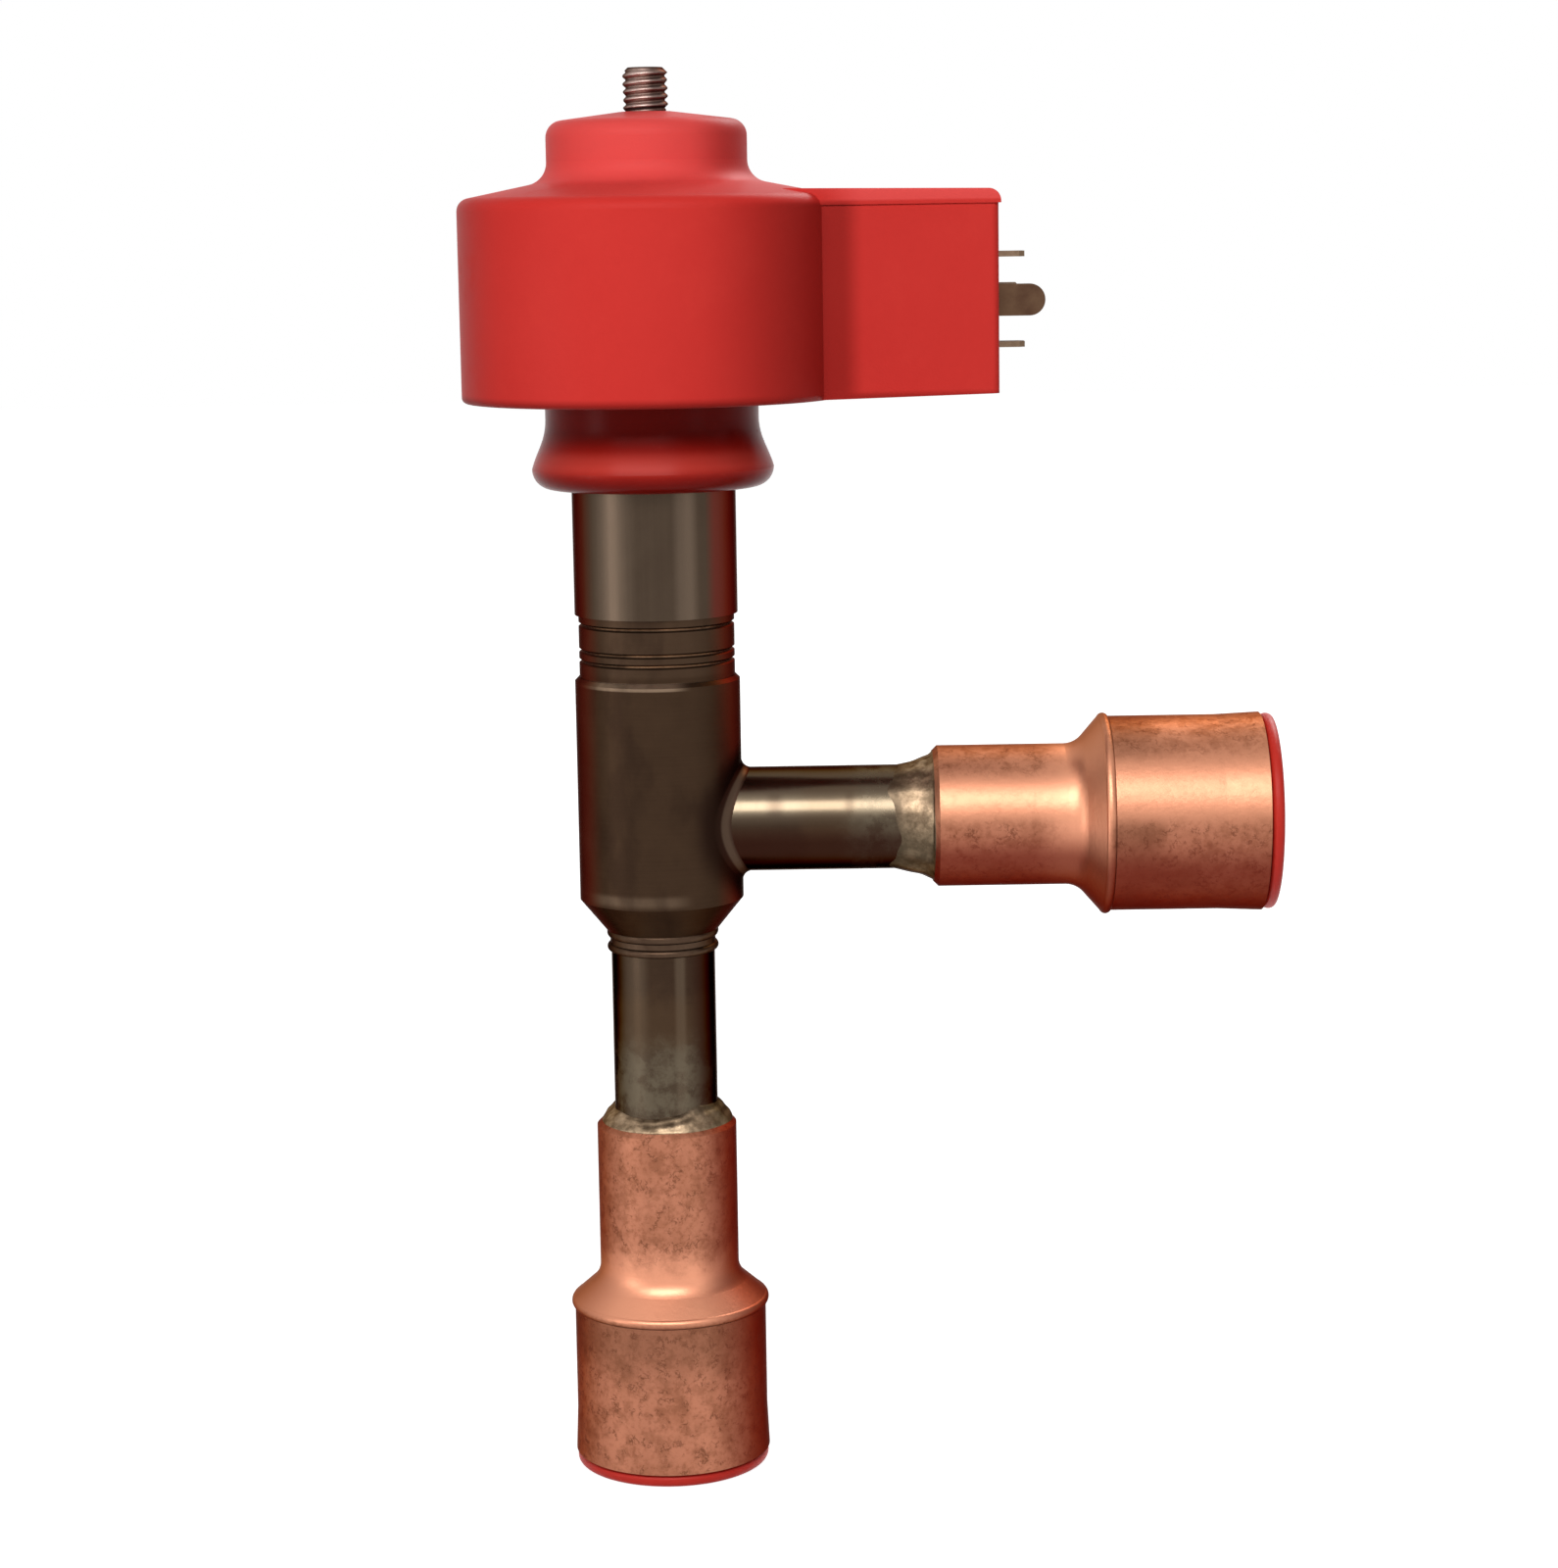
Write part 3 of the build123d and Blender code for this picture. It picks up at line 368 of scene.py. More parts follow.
def boot_rubber():
    """Glossy deep red rubber, darkest on the neck under the drum and under the lip by painted shadow
    and shade, paler on the lip by a painted highlight, and with a little pale dust."""
    finish = Finish("boot red rubber")
    low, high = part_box("lower_boot")
    height = (finish.axis("Z") - low.z / mm) / ((high.z - low.z) / mm)
    # Painted shadow and shade: the neck under the drum and the underside of the lip are darker.
    dark = finish.step(height, 0.36, 0.62) + finish.step(height, 0.28, 0.08)
    # Painted highlight: a paler band along the lip.
    rubbed_and_highlight = finish.band(height, 0.27, 0.33, 0.12)
    drift = finish.noise(0.25, detail=3)
    dust = finish.step(finish.noise(1.3, detail=6, roughness=0.7, shift=5), 0.56, 0.76)
    base = finish.mix(drift, colour(166, 32, 24), colour(180, 39, 31))
    base = finish.mix(0.75 * dark, base, colour(100, 10, 6))
    base = finish.mix(0.35 * rubbed_and_highlight, base, colour(212, 82, 70))
    base = finish.mix(dust * 0.08, base, colour(190, 86, 74))
    roughness = 0.26 + 0.22 * dust + 0.06 * drift
    return finish.surface(base, roughness, height=drift, bump_depth=0.03, ior=1.15)


def plug_plastic():
    """Soft red polythene, a little waxy."""
    finish = Finish("plug red polythene")
    drift = finish.noise(0.3, detail=3, shift=2)
    grain = finish.noise(2.4, detail=4, shift=9)
    base = finish.mix(drift, colour(196, 40, 30), colour(212, 54, 42))
    roughness = 0.38 + 0.14 * grain
    return finish.surface(base, roughness, height=grain, bump_depth=0.02, ior=1.3)


print("plastics ready")

# %% [markdown]
# ## Finishes: steel
#
# The steel looks dark, because it mirrors a dark room between bright windows. Its colour is
# therefore a deep warm grey, and the bands come from the lamps, helped by painted reflections,
# painted highlights and painted shade in the colour. The can is drawn, so its fine marks run up
# and down. The body and the collar are turned, so theirs run round, and the stubs carry straw
# and blue tints where they were heated for brazing.

# %% Steels


def turned_steel():
    """Dark body steel with fine turning lines round Z and smudges, painted highlights on the body's
    upper and lower edges on the side towards the lamps, painted light in the floors of the
    collar's grooves, a painted red reflection on its flanks, and painted shade round the branch
    joint with a painted highlight along the weld."""
    finish = Finish("turned body steel")
    lines = finish.noise(6.0, stretch=(0.02, 0.02, 1), detail=3, roughness=0.7)
    cloud = finish.noise(0.28, detail=5, roughness=0.6, shift=4)
    smudge = finish.step(finish.noise(0.24, stretch=(1, 1, 0.5), detail=4, shift=11), 0.48, 0.66)
    side = finish.side("Z")
    height = finish.axis("Z")
    # Painted reflection: a red tint on both flanks of the body.
    flank = finish.step(abs(side), 0.66, 0.92)
    # Painted highlights: pale rings along the body's upper and lower edges, on the side towards the lamps.
    top_edge_highlight = finish.band(height, 72.35, 72.85, 0.15)
    low_edge_highlight = finish.band(height, 53.0, 53.3, 0.6)
    # Painted light: the floors of the collar's grooves are made pale, against the shade in them.
    lit_groove_floor = finish.step(height, 73.0, 73.2) * finish.step(finish.radius("Z"), 6.95, 6.75)
    wear_and_edge_highlight = (top_edge_highlight + 0.3 * low_edge_highlight) * finish.step(abs(side + 0.25), 0.7, 0.4)
    low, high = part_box("inlet_tube")
    above = height - (low.z + high.z) / 2 / mm
    depth = finish.axis("Y")
    from_branch = finish.node("ShaderNodeMath", {"operation": "SQRT"}, {0: above * above + depth * depth})
    near = finish.step(side, 0.3, 0.6)
    # Painted shade round the branch joint, and a painted highlight along the weld next to the stub.
    painted_shade = finish.step(from_branch, 8.0, 5.9) * near
    weld_rim_highlight = finish.band(from_branch, 4.86, 5.04, 0.16) * near
    base = finish.mix(cloud, colour(46, 32, 23), colour(60, 44, 32))
    base = finish.mix(0.3 * lines, base, colour(74, 58, 44))
    base = finish.mix(0.12 * finish.step(height, 73.2, 73.6), base, colour(104, 84, 68))
    base = finish.mix(0.9 * lit_groove_floor, base, colour(190, 166, 144))
    base = finish.mix(0.7 * wear_and_edge_highlight, base, colour(140, 118, 98))
    base = finish.mix(0.45 * smudge, base, colour(38, 26, 20))
    base = finish.mix(0.65 * flank, base, colour(98, 48, 39))
    base = finish.mix(0.86 * painted_shade, base, colour(34, 21, 16))
    base = finish.mix(0.3 * weld_rim_highlight, base, colour(112, 94, 78))
    roughness = 0.30 + 0.16 * cloud + 0.08 * lines
    return finish.surface(base, roughness, 1, height=lines, bump_depth=0.008)


def drawn_steel():
    """Can steel: brighter and greyer than the body, with faint upright draw marks, two painted
    upright reflections and a painted red reflection on its flanks, strongest on the right, as it
    mirrors the coil's red."""
    finish = Finish("drawn can steel")
    marks = finish.noise(3.2, stretch=(1, 1, 0.015), detail=3, roughness=0.65)
    cloud = finish.noise(0.2, detail=4, roughness=0.6, shift=6)
    side = finish.side("Z")
    # Painted reflections: a red tint on the flanks and two paler upright stripes.
    flank = finish.step(side, 0.62, 0.76) + 0.85 * finish.step(side, -0.7, -0.95)
    reflection_stripes = 0.3 * finish.band(side, -0.60, -0.36, 0.2) + 0.35 * finish.band(side, 0.34, 0.46, 0.12)
    base = finish.mix(cloud, colour(62, 49, 40), colour(74, 61, 50))
    base = finish.mix(0.3 * marks, base, colour(88, 76, 62))
    base = finish.mix(reflection_stripes, base, colour(112, 96, 82))
    base = finish.mix(0.75 * flank, base, colour(104, 44, 38))
    roughness = 0.22 + 0.12 * cloud + 0.10 * marks
    return finish.surface(base, roughness, 1, height=marks, bump_depth=0.004)


def stub_steel(name, along, hot_end, cool_end, centre=0):
    """Stub tube steel: polish marks round the tube, heat tints and grey patches towards the braze,
    painted light and a painted highlight band on the side towards the lamps, and painted shade on
    its shaded side."""
    finish = Finish(name)
    distance = finish.axis(along)
    heat = finish.step(distance, cool_end, hot_end)
    turning = tuple(1 if letter == along else 0.03 for letter in "XYZ")
    lines = finish.noise(4.0, stretch=turning, detail=3, roughness=0.7, shift=2)
    cloud = finish.noise(0.5, detail=5, roughness=0.65, shift=8)
    straw = finish.band(heat + 0.25 * cloud, 0.45, 0.68, 0.18)
    patchy = finish.step(finish.noise(0.42, detail=5, roughness=0.7, shift=17), 0.40, 0.60)
    grey = finish.step(heat + 0.3 * cloud, 0.58, 0.98) * (0.3 + 0.7 * patchy)
    side = finish.side(along, centre)
    # Painted shade on the shaded side, to the right of an upright stub and underneath a level one. Painted light:
    # paler upright bands on an upright stub, the upper half of a level one, and there a painted highlight band
    # broken by two gaps.
    low, high = (0.42, 0.82) if along == "Z" else (-0.15, 0.35)
    painted_shade = finish.step(side, low, high)
    if along == "Z":
        painted_lit_side = 0.35 * finish.band(side, -0.62, -0.4, 0.2) + 0.5 * finish.band(side, 0.3, 0.38, 0.1)
        painted_highlight = 0
    else:
        painted_lit_side = finish.step(side, 0.1, -0.3)
        highlight_gaps = finish.band(distance, 10.4, 10.6, 1.0) + finish.band(distance, 17.2, 17.3, 0.6)
        painted_highlight = 0.22 * finish.band(side, -0.5, -0.3, 0.16) * (1 - 0.8 * highlight_gaps)
    base = finish.mix(cloud, colour(44, 31, 23), colour(58, 43, 32))
    base = finish.mix(painted_lit_side, base, colour(92, 78, 64))
    base = finish.mix(painted_highlight, base, colour(172, 158, 132))
    base = finish.mix(0.25 * straw, base, colour(86, 66, 46))
    base = finish.mix(0.65 * grey, base, colour(103, 94, 78))
    base = finish.mix(0.15 * lines, base, colour(86, 70, 56))
    base = finish.mix(0.8 * painted_shade, base, colour(42, 18, 12))
    roughness = 0.16 + 0.06 * cloud + 0.14 * grey + 0.05 * lines
    return finish.surface(base, roughness, 1, height=lines, bump_depth=0.006)


def weld_steel():
    """Bright rippled weld metal with a little straw colour."""
    finish = Finish("weld bead steel")
    cloud = finish.noise(0.9, detail=4, shift=5)
    base = finish.mix(cloud, colour(54, 38, 29), colour(88, 70, 56))
    roughness = 0.30 + 0.2 * cloud
    return finish.surface(base, roughness, 1, height=cloud, bump_depth=0.03)


def stud_steel():
    """Worn stud: pale steel on the crests, darker brown in the thread's roots, and painted shade on its sides."""
    finish = Finish("worn stud steel")
    radius = finish.radius("Z")
    wear_and_edge_highlight = finish.noise(1.4, detail=5, roughness=0.7, shift=3)
    crest = finish.step(radius + 0.25 * wear_and_edge_highlight, 1.78, 2.05)
    # Painted shade: darker on both sides, away from a band left of the middle.
    flank = finish.step(abs(finish.side("Z") + 0.3), 0.2, 0.75)
    base = finish.mix(crest, colour(104, 84, 76), colour(174, 150, 142))
    base = finish.mix(0.5 * finish.step(wear_and_edge_highlight, 0.5, 0.7), base, colour(120, 92, 84))
    base = finish.mix(0.7 * flank, base, colour(62, 44, 36))
    roughness = 0.46 - 0.12 * crest + 0.12 * wear_and_edge_highlight
    return finish.surface(base, roughness, 1, height=wear_and_edge_highlight, bump_depth=0.03)


print("steels ready")

# %% [markdown]
# ## Finishes: copper and braze
#
# The reducers were pressed from copper tube and then heated. Bare copper shows on the smooth
# shoulder, and elsewhere the skin is mottled brown with short dark squiggles. A squiggle is
# where a cloudy noise crosses its middle value: that contour is a thin wandering line, and a
# second, slower noise breaks it into short lengths.

# %% Copper and braze


def mottled_copper(name, along, mouth, shoulder, neck_end, centre=0):
    """Copper of a reducer. along is the letter of its axis, and the three places on that axis
    are its mouth, the lip at its shoulder and the end of its neck, in millimetres."""
    finish = Finish(name)
    distance = (finish.axis(along) - mouth) / (neck_end - mouth)
    lip = (shoulder - mouth) / (neck_end - mouth)
    side = finish.side(along, centre)
    low, high, far = (0.35, 0.9, 0.4) if along == "Z" else (-0.08, 0.5, 0.12)
    # Painted reflection: a red tint on the flanks, strongest on the right of an upright reducer; underneath a
    # level one it is painted red reflection and shade.
    flank = finish.step(side, low, high) + far * finish.step(side, -0.5, -0.95)
    # Painted light: on a level reducer the upper side is paler and kept free of the mottle.
    painted_lit_band = 0 if along == "Z" else finish.band(side, -0.84, -0.2, 0.25)
    lit_side_clearing = 0 if along == "Z" else finish.band(side, -0.6, -0.15, 0.2) + 0.3 * finish.step(side, -0.5, -0.8)
    cloud = finish.noise(0.30, detail=4, roughness=0.6, shift=2)
    smooth = finish.step(distance, lip - 0.03, lip) * finish.step(distance + 0.1 * cloud, lip + 0.27, lip + 0.14)
    rough_skin = (1 - smooth) * (1 - 0.85 * lit_side_clearing)
    fine = finish.noise(2.0, detail=5, roughness=0.7, shift=9)
    blotch = finish.step(finish.noise(0.85, detail=5, roughness=0.65, shift=4), 0.46, 0.64)
    contour = finish.noise(1.15, detail=3, roughness=0.65, warp=0.4, shift=5)
    line = finish.step(abs(contour - 0.5), 0.055, 0.010)
    broken = finish.step(finish.noise(0.9, detail=4, shift=13), 0.50, 0.60)
    squiggle = line * broken * rough_skin
    brown = finish.step(cloud + 0.45 * fine, 0.58, 0.92) * rough_skin
    speck = finish.step(fine, 0.50, 0.66) * rough_skin
    under_lip = finish.band(distance + 0.14 * cloud, lip - 0.02, lip + 0.05, 0.16)
    base = finish.mix(fine, colour(162, 105, 81), colour(184, 121, 95))
    base = finish.mix(smooth * 0.85, base, colour(222, 152, 120))
    base = finish.mix(0.6 * painted_lit_band, base, colour(204, 141, 109))
    base = finish.mix(0.5 * brown, base, colour(132, 82, 58))
    base = finish.mix(0.5 * blotch * rough_skin, base, colour(124, 76, 54))
    base = finish.mix(0.35 * speck, base, colour(120, 70, 50))
    base = finish.mix(0.55 * under_lip * rough_skin, base, colour(104, 66, 48))
    base = finish.mix(0.5 * squiggle, base, colour(84, 48, 33))
    base = finish.mix(0.85 * flank, base, colour(102, 34, 25))
    roughness = 0.36 + 0.10 * brown + 0.08 * fine + 0.1 * squiggle
    return finish.surface(base, roughness, 1, height=fine, bump_depth=0.02)


def braze_metal(name, along, joint, climb, centre=0):
    """Silver braze: cream where it is bare, olive grey where flux has dulled it, darker on
    its shaded side and towards its thin edge, which lies climb millimetres from the joint."""
    finish = Finish(name)
    cloud = finish.step(finish.noise(0.9, detail=6, roughness=0.65, shift=3), 0.32, 0.76)
    grain = finish.noise(4.0, detail=5, roughness=0.7, shift=8)
    flux = finish.step(grain, 0.54, 0.74)
    thin = finish.step(abs(finish.axis(along) - joint) / climb, 0.4, 1.0)
    low, high = (0.45, 0.95) if along == "Z" else (-0.25, 0.35)
    shaded = finish.step(finish.side(along, centre), low, high)
    base = finish.mix(cloud, colour(108, 90, 71), colour(184, 158, 129))
    base = finish.mix(0.25 * flux, base, colour(64, 48, 36))
    base = finish.mix(0.8 * thin, base, colour(80, 68, 55))
    base = finish.mix(0.7 * shaded, base, colour(58, 50, 38))
    roughness = 0.26 + 0.26 * grain
    return finish.surface(base, roughness, 1, height=grain, bump_depth=0.025)


print("copper ready")

# %% [markdown]
# ## Finishes of the connector and of the inside
#
# The blades are tinned brass gone dull. What lies inside the can and the coil never shows in
# the picture, but each piece still gets a finish of its own, because the pieces may be taken
# apart: pressed iron, sintered magnet, bronze, wound wire and two plain mouldings.

# %% Blades and inner pieces


def clouded(name, dark, light, scale, rough, metallic=0, depth=0.01, stretch=(1, 1, 1)):
    """A plain finish whose colour and gloss drift together between two colours."""
    finish = Finish(name)
    cloud = finish.noise(scale, stretch=stretch, detail=4, roughness=0.6)
    base = finish.mix(cloud, dark, light)
    roughness = rough + 0.15 * cloud
    return finish.surface(base, roughness, metallic, height=cloud, bump_depth=depth)


def wound_wire():
    """Enamelled wire: fine turns stacked along Z, seen as ridges on the winding."""
    finish = Finish("enamelled winding wire")
    turns = finish.node("ShaderNodeMath", {"operation": "SINE"}, {0: finish.axis("Z") * (2 * pi / 0.28)})
    shade = finish.noise(0.7, stretch=(1, 1, 4), detail=3)
    base = finish.mix(shade, colour(150, 66, 34), colour(186, 92, 50))
    base = finish.mix(finish.step(turns, -0.2, -0.9), base, colour(74, 28, 14))
    return finish.surface(base, 0.3 + 0.1 * shade, 0.6, height=turns, bump_depth=0.04)


finish_of_slot = {
    "coil_plastic": coil_plastic(),
    "boot_rubber": boot_rubber(),
    "plug_plastic": plug_plastic(),
    "steel_body": turned_steel(),
    "steel_can": drawn_steel(),
    "blade_metal": clouded("dull tinned brass", colour(92, 72, 56), colour(140, 118, 98), 1.2, 0.28, 1),
    "steel_inner": clouded("inner steel", colour(150, 148, 144), colour(188, 186, 182), 1.5, 0.22, 1),
    "bronze": clouded("bearing bronze", colour(150, 104, 58), colour(182, 134, 84), 1.8, 0.3, 1),
    "magnet": clouded("sintered magnet", colour(38, 38, 42), colour(62, 62, 66), 2.5, 0.5, 0.3, 0.02),
    "carrier_plastic": clouded("carrier moulding", colour(52, 50, 48), colour(74, 72, 70), 1.0, 0.42),
    "bobbin_plastic": clouded("bobbin moulding", colour(206, 200, 184), colour(228, 222, 208), 0.8, 0.42),
    "seal_rubber": clouded("seal rubber", colour(20, 20, 20), colour(38, 38, 38), 1.5, 0.5, 0, 0.02),
    "stator_iron": clouded("plated pole iron", colour(132, 136, 140), colour(170, 172, 176), 1.1, 0.28, 1),
    "winding_wire": wound_wire(),
}
print("finishes by slot", len(finish_of_slot))

# %% [markdown]
# ## Dressing the solid pieces
#
# Most solids keep their shape and only take a finish in their material slot. Pieces that share
# a slot share its finish, apart from the two reducers and the two stubs, whose patterns follow
# their own axes. Their mouths, shoulders and ends are read from the boxes of the pieces.

# %% Finish every node
outlet_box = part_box("outlet_adaptor")
inlet_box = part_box("inlet_adaptor")
outlet_stub_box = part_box("outlet_tube")
inlet_stub_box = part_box("inlet_tube")
body_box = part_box("valve_body")
bell_length = 14.7 * mm

outlet_mouth_z = outlet_box[0].z / mm
outlet_neck_z = outlet_box[1].z / mm
inlet_mouth_x = inlet_box[1].x / mm
inlet_neck_x = inlet_box[0].x / mm
outlet_lip_z = outlet_mouth_z + bell_length / mm
inlet_lip_x = inlet_mouth_x - bell_length / mm
inlet_axis_z = (inlet_box[0].z + inlet_box[1].z) / 2 / mm

finish_of_node = {
    "outlet_adaptor": mottled_copper("outlet copper", "Z", outlet_mouth_z, outlet_lip_z, outlet_neck_z),
    "inlet_adaptor": mottled_copper("inlet copper", "X", inlet_mouth_x, inlet_lip_x, inlet_neck_x, inlet_axis_z),
    "outlet_tube": stub_steel("outlet stub steel", "Z", outlet_neck_z, body_box[0].z / mm),
    "inlet_tube": stub_steel("inlet stub steel", "X", inlet_neck_x, body_box[1].x / mm, inlet_axis_z),
    "outlet_braze_ring": braze_metal("outlet braze", "Z", outlet_neck_z, 1.8),
    "inlet_braze_ring": braze_metal("inlet braze", "X", inlet_neck_x, 3.8, inlet_axis_z),
    "outlet_weld_bead": weld_steel(),
    "can_cap": stud_steel(),
    "earth_blade": clouded("tarnished brass", colour(58, 32, 26), colour(104, 82, 62), 0.5, 0.28, 1),
}
for name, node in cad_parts.items():
    for place_in_node in node.material_slots:
        made = finish_of_node.get(name) or finish_of_slot[place_in_node.material.name]
        place_in_node.material = made

# %% [markdown]
# ## Surfaces worked out on a grid
#
# The new pieces are all rings of points: a row of points goes once round, and the rows follow
# one another along the piece. One helper turns such a grid into a closed mesh. Where the rows
# end on an axis, it adds a point there and a fan of triangles, and where they come back to the
# first row, it joins them up like a tyre.

# %% Mesh from a grid of rings


def ring_mesh(name, rings, poles=None):
    """A closed mesh from rings of shape (rows, columns, 3). Every row wraps round. With poles,
    two points close the ends. Without them, the last row joins the first."""
    rows, columns = rings.shape[:2]
    index = np.arange(rows * columns).reshape(rows, columns)
    if poles is None:
        low = index
        high = np.roll(index, -1, axis=0)
    else:
        low = index[:-1]
        high = index[1:]
    quads = np.stack([low, np.roll(low, -1, 1), np.roll(high, -1, 1), high], axis=-1).reshape(-1, 4)
    points = rings.reshape(-1, 3)
    faces = quads.tolist()
    if poles is not None:
        points = np.vstack([points, poles])
        first = np.full(columns, rows * columns)
        start = np.stack([first, np.roll(index[0], -1), index[0]], axis=-1)
        end = np.stack([first + 1, index[-1], np.roll(index[-1], -1)], axis=-1)
        faces += start.tolist() + end.tolist()
    corners = points[quads]
    volume = np.einsum("ij,ij->i", corners[:, 0], np.cross(corners[:, 1], corners[:, 2])).sum()
    volume += np.einsum("ij,ij->i", corners[:, 0], np.cross(corners[:, 2], corners[:, 3])).sum()
    if volume < 0:
        faces = [face[::-1] for face in faces]
    mesh = bpy.data.meshes.new(name)
    mesh.from_pydata(points.tolist(), [], faces)
    mesh.polygons.foreach_set("use_smooth", np.ones(len(faces), bool))
    piece = bpy.data.objects.new(name, mesh)
    bpy.context.scene.collection.objects.link(piece)
    return piece


def round_z(radius, height, angle):
    """Points at a radius and height round the valve axis, as one array of x, y and z."""
    radius, height, angle = np.broadcast_arrays(radius, height, angle)
    return np.stack([radius * np.cos(angle), radius * np.sin(angle), height], axis=-1)


print("grid helpers ready")

# %% [markdown]
# ## The stud and its thread
#
# The coil's fixing stud is an M4 thread on the cap of the rotor can. A thread is a ridge that
# climbs one pitch in each turn, so on a grid of angle and height the radius is a wave of
# height / pitch - angle / one turn. It could be swept along a helix, but as a wave on a turned
# shape it stays one closed surface with the cap below it, which is plain.

# %% Threaded stud on its cap
cap_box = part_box("can_cap")
crown_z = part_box("stator_housing")[1].z
pitch = 0.7 * mm
stud_r = 2.0 * mm
thread_depth = 0.26 * mm
stud_relief_r = 1.75 * mm
stud_chamfer = 0.45 * mm
cap_r = cap_box[1].x
cap_edge = 0.5 * mm
cap_spigot = 0.6 * mm
cap_thickness = 1.5 * mm
spigot_inset = 0.52 * mm
stud_top_z = cap_box[1].z
cap_low_z = cap_box[0].z
cap_top_z = cap_low_z + cap_spigot + cap_thickness
thread_columns = 120
rows_per_pitch = 14

turn_angle = np.linspace(0, 2 * pi, thread_columns, endpoint=False)[None, :]
thread_rows = int((stud_top_z - crown_z) / pitch * rows_per_pitch)
thread_z = np.linspace(crown_z, stud_top_z, thread_rows)[:, None]
wave = (thread_z / pitch - turn_angle / (2 * pi)) % 1
flank = np.clip(1.5 * np.abs(2 * wave - 1) - 0.2, 0, 1)
worn = 1 - 0.25 * np.clip(np.sin(3 * turn_angle + 2.1) * np.sin(thread_z / mm * 2.2 + 1.0), 0, 1)
thread_r = stud_r - thread_depth * (1 - flank * worn)
chamfer_r = stud_r - stud_chamfer + (stud_top_z - thread_z)
run_in_r = stud_relief_r + (thread_z - crown_z) * 0.8
thread_r = np.minimum(thread_r, np.minimum(chamfer_r, run_in_r))

cap_profile = np.array([
    (cap_r - spigot_inset, cap_low_z),
    (cap_r - spigot_inset, cap_low_z + cap_spigot),
    (cap_r, cap_low_z + cap_spigot),
    (cap_r, cap_top_z - cap_edge),
    (cap_r - cap_edge, cap_top_z),
    (stud_relief_r, cap_top_z),
    (stud_relief_r, crown_z - pitch),
])
cap_rings = round_z(cap_profile[:, :1], cap_profile[:, 1:], turn_angle)
stud_rings = round_z(thread_r, thread_z, turn_angle)
ends = np.array([(0, 0, cap_low_z), (0, 0, stud_top_z)])
stud = ring_mesh("threaded_stud_cap", np.vstack([cap_rings, stud_rings]), ends)
stud.data.materials.append(finish_of_node["can_cap"])
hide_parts("can_cap")
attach(stud, "valve")
print("stud", len(stud.data.polygons), "faces, top at", round(stud_top_z / mm, 2), "mm")

# %% [markdown]
# ## The braze
#
# Molten braze climbs the stub and spreads over the end of the neck, and no two spots freeze
# alike. The plain fillets of the model stand in for it, and these rings replace them: the same
# hollow section, whose height and width are changed round the joint by a sum of slow waves.

# %% Braze rings
braze_columns = 240
braze_rows = 24


def uneven(angle, seed, strength):
    """A slow wave round the joint: sines of 1 to 11 turns, each weaker than the last, with
    fixed seeded phases."""
    draw = np.random.default_rng(seed)
    total = np.zeros_like(angle)
    for turns in (1, 2, 3, 5, 7, 11):
        total += np.sin(turns * angle + draw.uniform(0, 2 * pi)) / turns**0.8
    return 1 + strength * total / 2


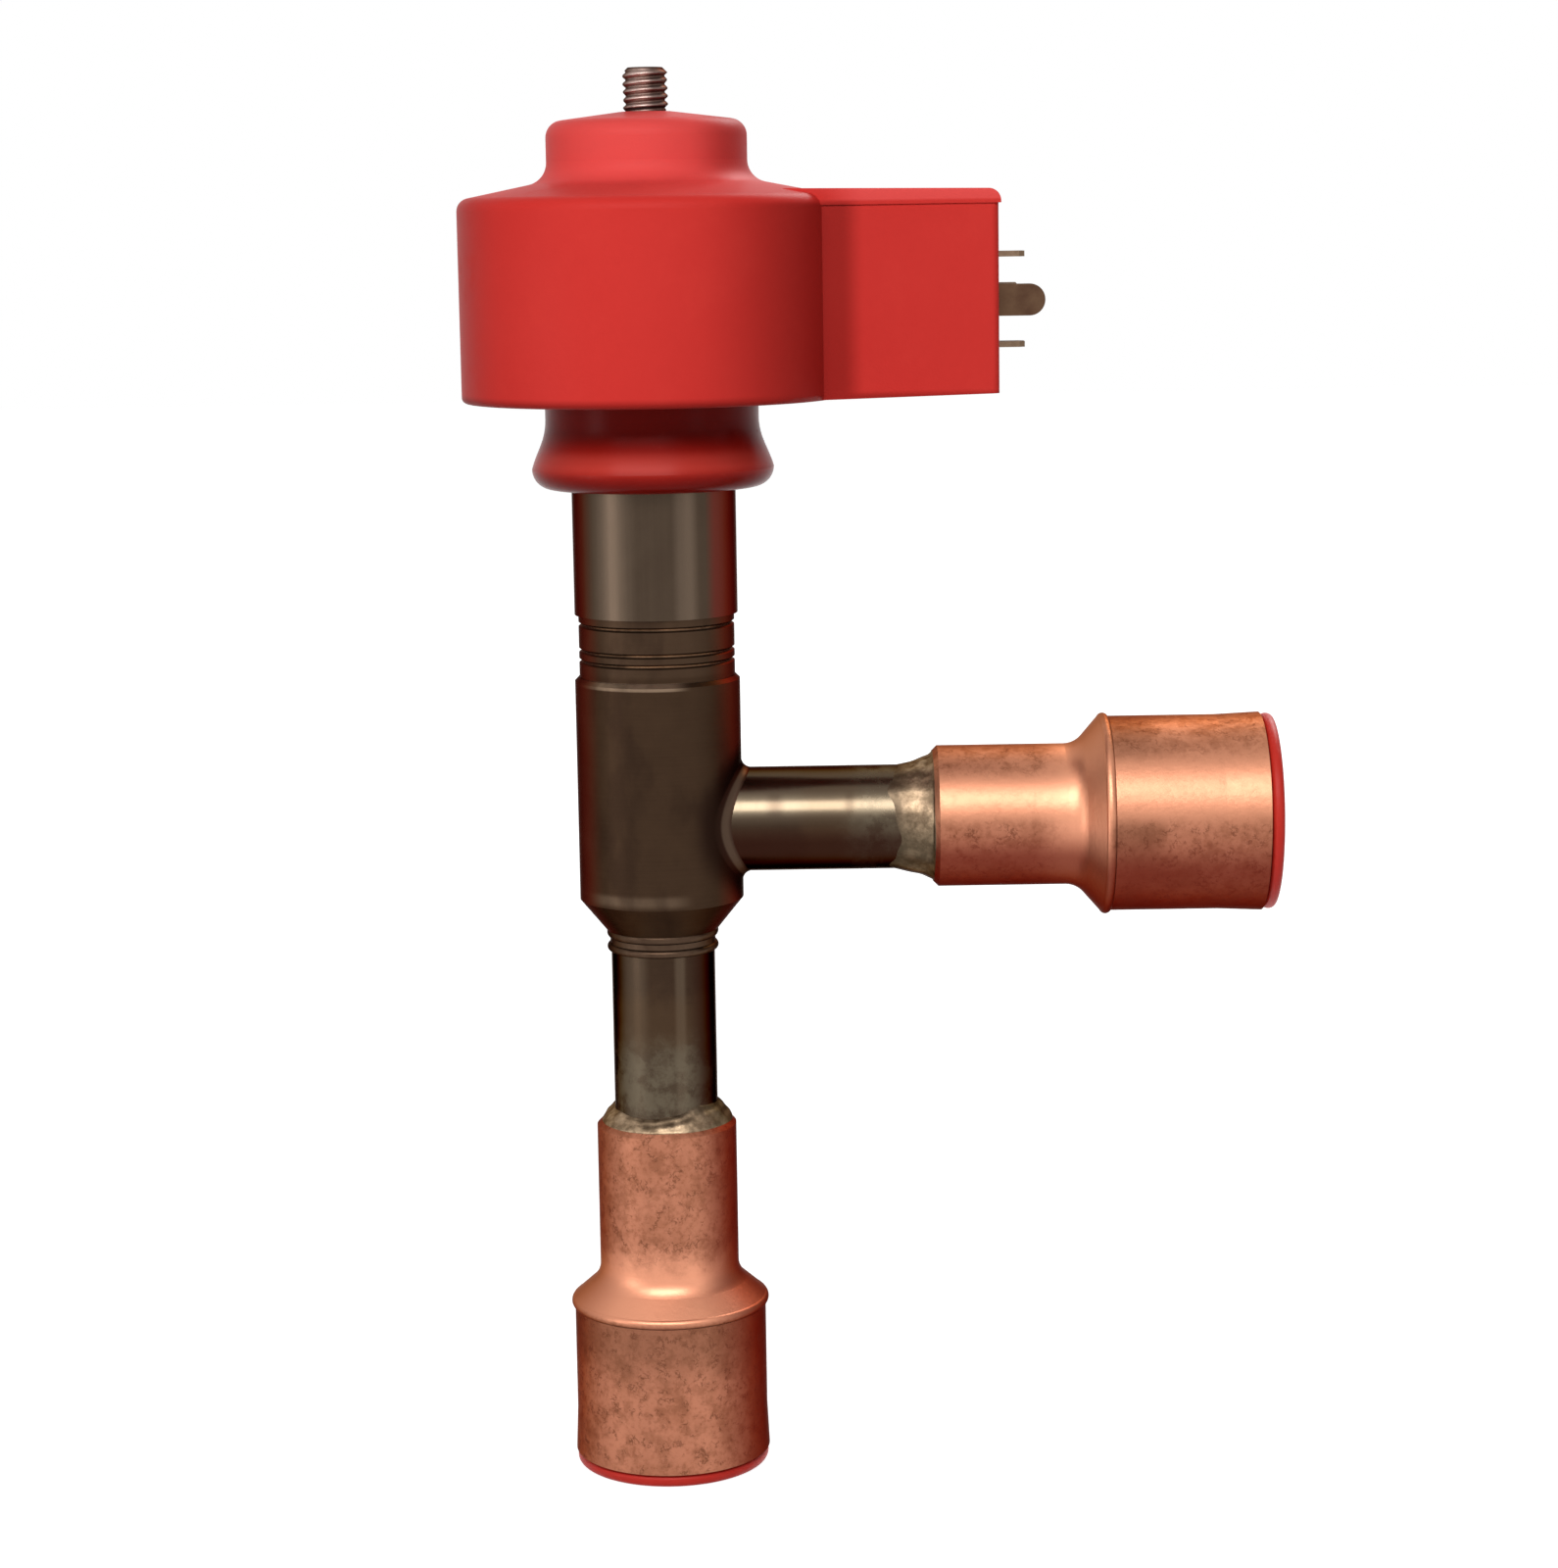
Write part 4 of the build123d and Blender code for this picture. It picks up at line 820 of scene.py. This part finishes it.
def braze_ring(name, node, along, climb, power, seed):
    """A hollow fillet round a stub. s runs down its face from the stub to the neck: the height
    falls as (1 - s) to a power and the radius grows as s, and the back lies inside the joint.
    climb is how high it stands on the average. A power under 1 makes it bulge."""
    low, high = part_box(node)
    if along == "Z":
        base, outer_r = low.z, high.x
    else:
        base, outer_r = high.x, high.y
    centre_z = (low.z + high.z) / 2
    angle = np.linspace(0, 2 * pi, braze_columns, endpoint=False)[None, :]
    s = np.linspace(0, 1, braze_rows)[:, None]
    rise = climb * uneven(angle, seed, 0.42)
    reach = (outer_r - outlet_stub_box[1].x) * uneven(angle, seed + 1, 0.06)
    lumps = 0.07 * mm * np.sin(9 * angle + 5 * s) * np.sin(6 * angle - 8 * s + seed) * s * (1 - s) * 4
    face_height = rise * (1 - s) ** power
    face_radius = outlet_stub_box[1].x - 0.12 * mm + (reach + 0.1 * mm) * s**0.9 + lumps
    foot_radius = np.array([[1.0], [0.5], [0.0]]) * reach + outlet_stub_box[1].x - 0.02 * mm
    foot_height = np.full((3, 1), -0.12 * mm) * np.ones_like(angle)
    radius = np.vstack([face_radius, foot_radius])
    lift = np.vstack([face_height, foot_height])
    if along == "Z":
        rings = round_z(radius, base + lift, angle)
    else:
        rings = np.stack([base - lift, radius * np.cos(angle), centre_z + radius * np.sin(angle)], axis=-1)
    piece = ring_mesh(name, rings)
    piece.data.materials.append(finish_of_node[node])
    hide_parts(node)
    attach(piece, "valve")
    return piece


outlet_braze = braze_ring("outlet_braze", "outlet_braze_ring", "Z", 1.6 * mm, 0.8, 11)
inlet_braze = braze_ring("inlet_braze", "inlet_braze_ring", "X", 3.6 * mm, 2.0, 23)
print("braze rings", len(outlet_braze.data.polygons), len(inlet_braze.data.polygons))

# %% [markdown]
# ## The weld round the branch
#
# The side stub is welded into the round wall of the body, and the joint was run smooth, so the
# wall flows into the stub in a small hollow. At an angle round the stub and a distance out from
# its axis, the wall lies at the square root of the body's radius squared less the sideways
# distance squared. The fillet starts out on that wall and ends along the stub: its two legs
# shrink and grow as (1 - s) and s squared, which makes the hollow curve between them.

# %% Saddle weld
weld_leg = 1.15 * mm
weld_sink = 0.04 * mm
weld_back = 0.3 * mm
weld_columns = 240
weld_rows = 16
body_r = body_box[1].x
stub_r = outlet_stub_box[1].x
inlet_z = (inlet_stub_box[0].z + inlet_stub_box[1].z) / 2

angle = np.linspace(0, 2 * pi, weld_columns, endpoint=False)[None, :]
s = np.linspace(0, 1, weld_rows)[:, None]
out = np.vstack([weld_leg * (1 - s) ** 2 - weld_sink, [[-weld_back]]])
along = np.vstack([weld_leg * s**2 - weld_sink, [[-weld_back]]])
swell = uneven(angle, 5, 0.10)
distance = stub_r + out * swell
wall_x = np.sqrt(body_r**2 - (distance * np.cos(angle)) ** 2)
weld_points = np.stack(
    [wall_x + along * swell, distance * np.cos(angle), inlet_z + distance * np.sin(angle)],
    axis=-1,
)
saddle = ring_mesh("inlet_weld_bead", weld_points)
saddle.data.materials.append(finish_of_slot["steel_body"])
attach(saddle, "valve")
print("weld fillet", len(saddle.data.polygons), "faces")
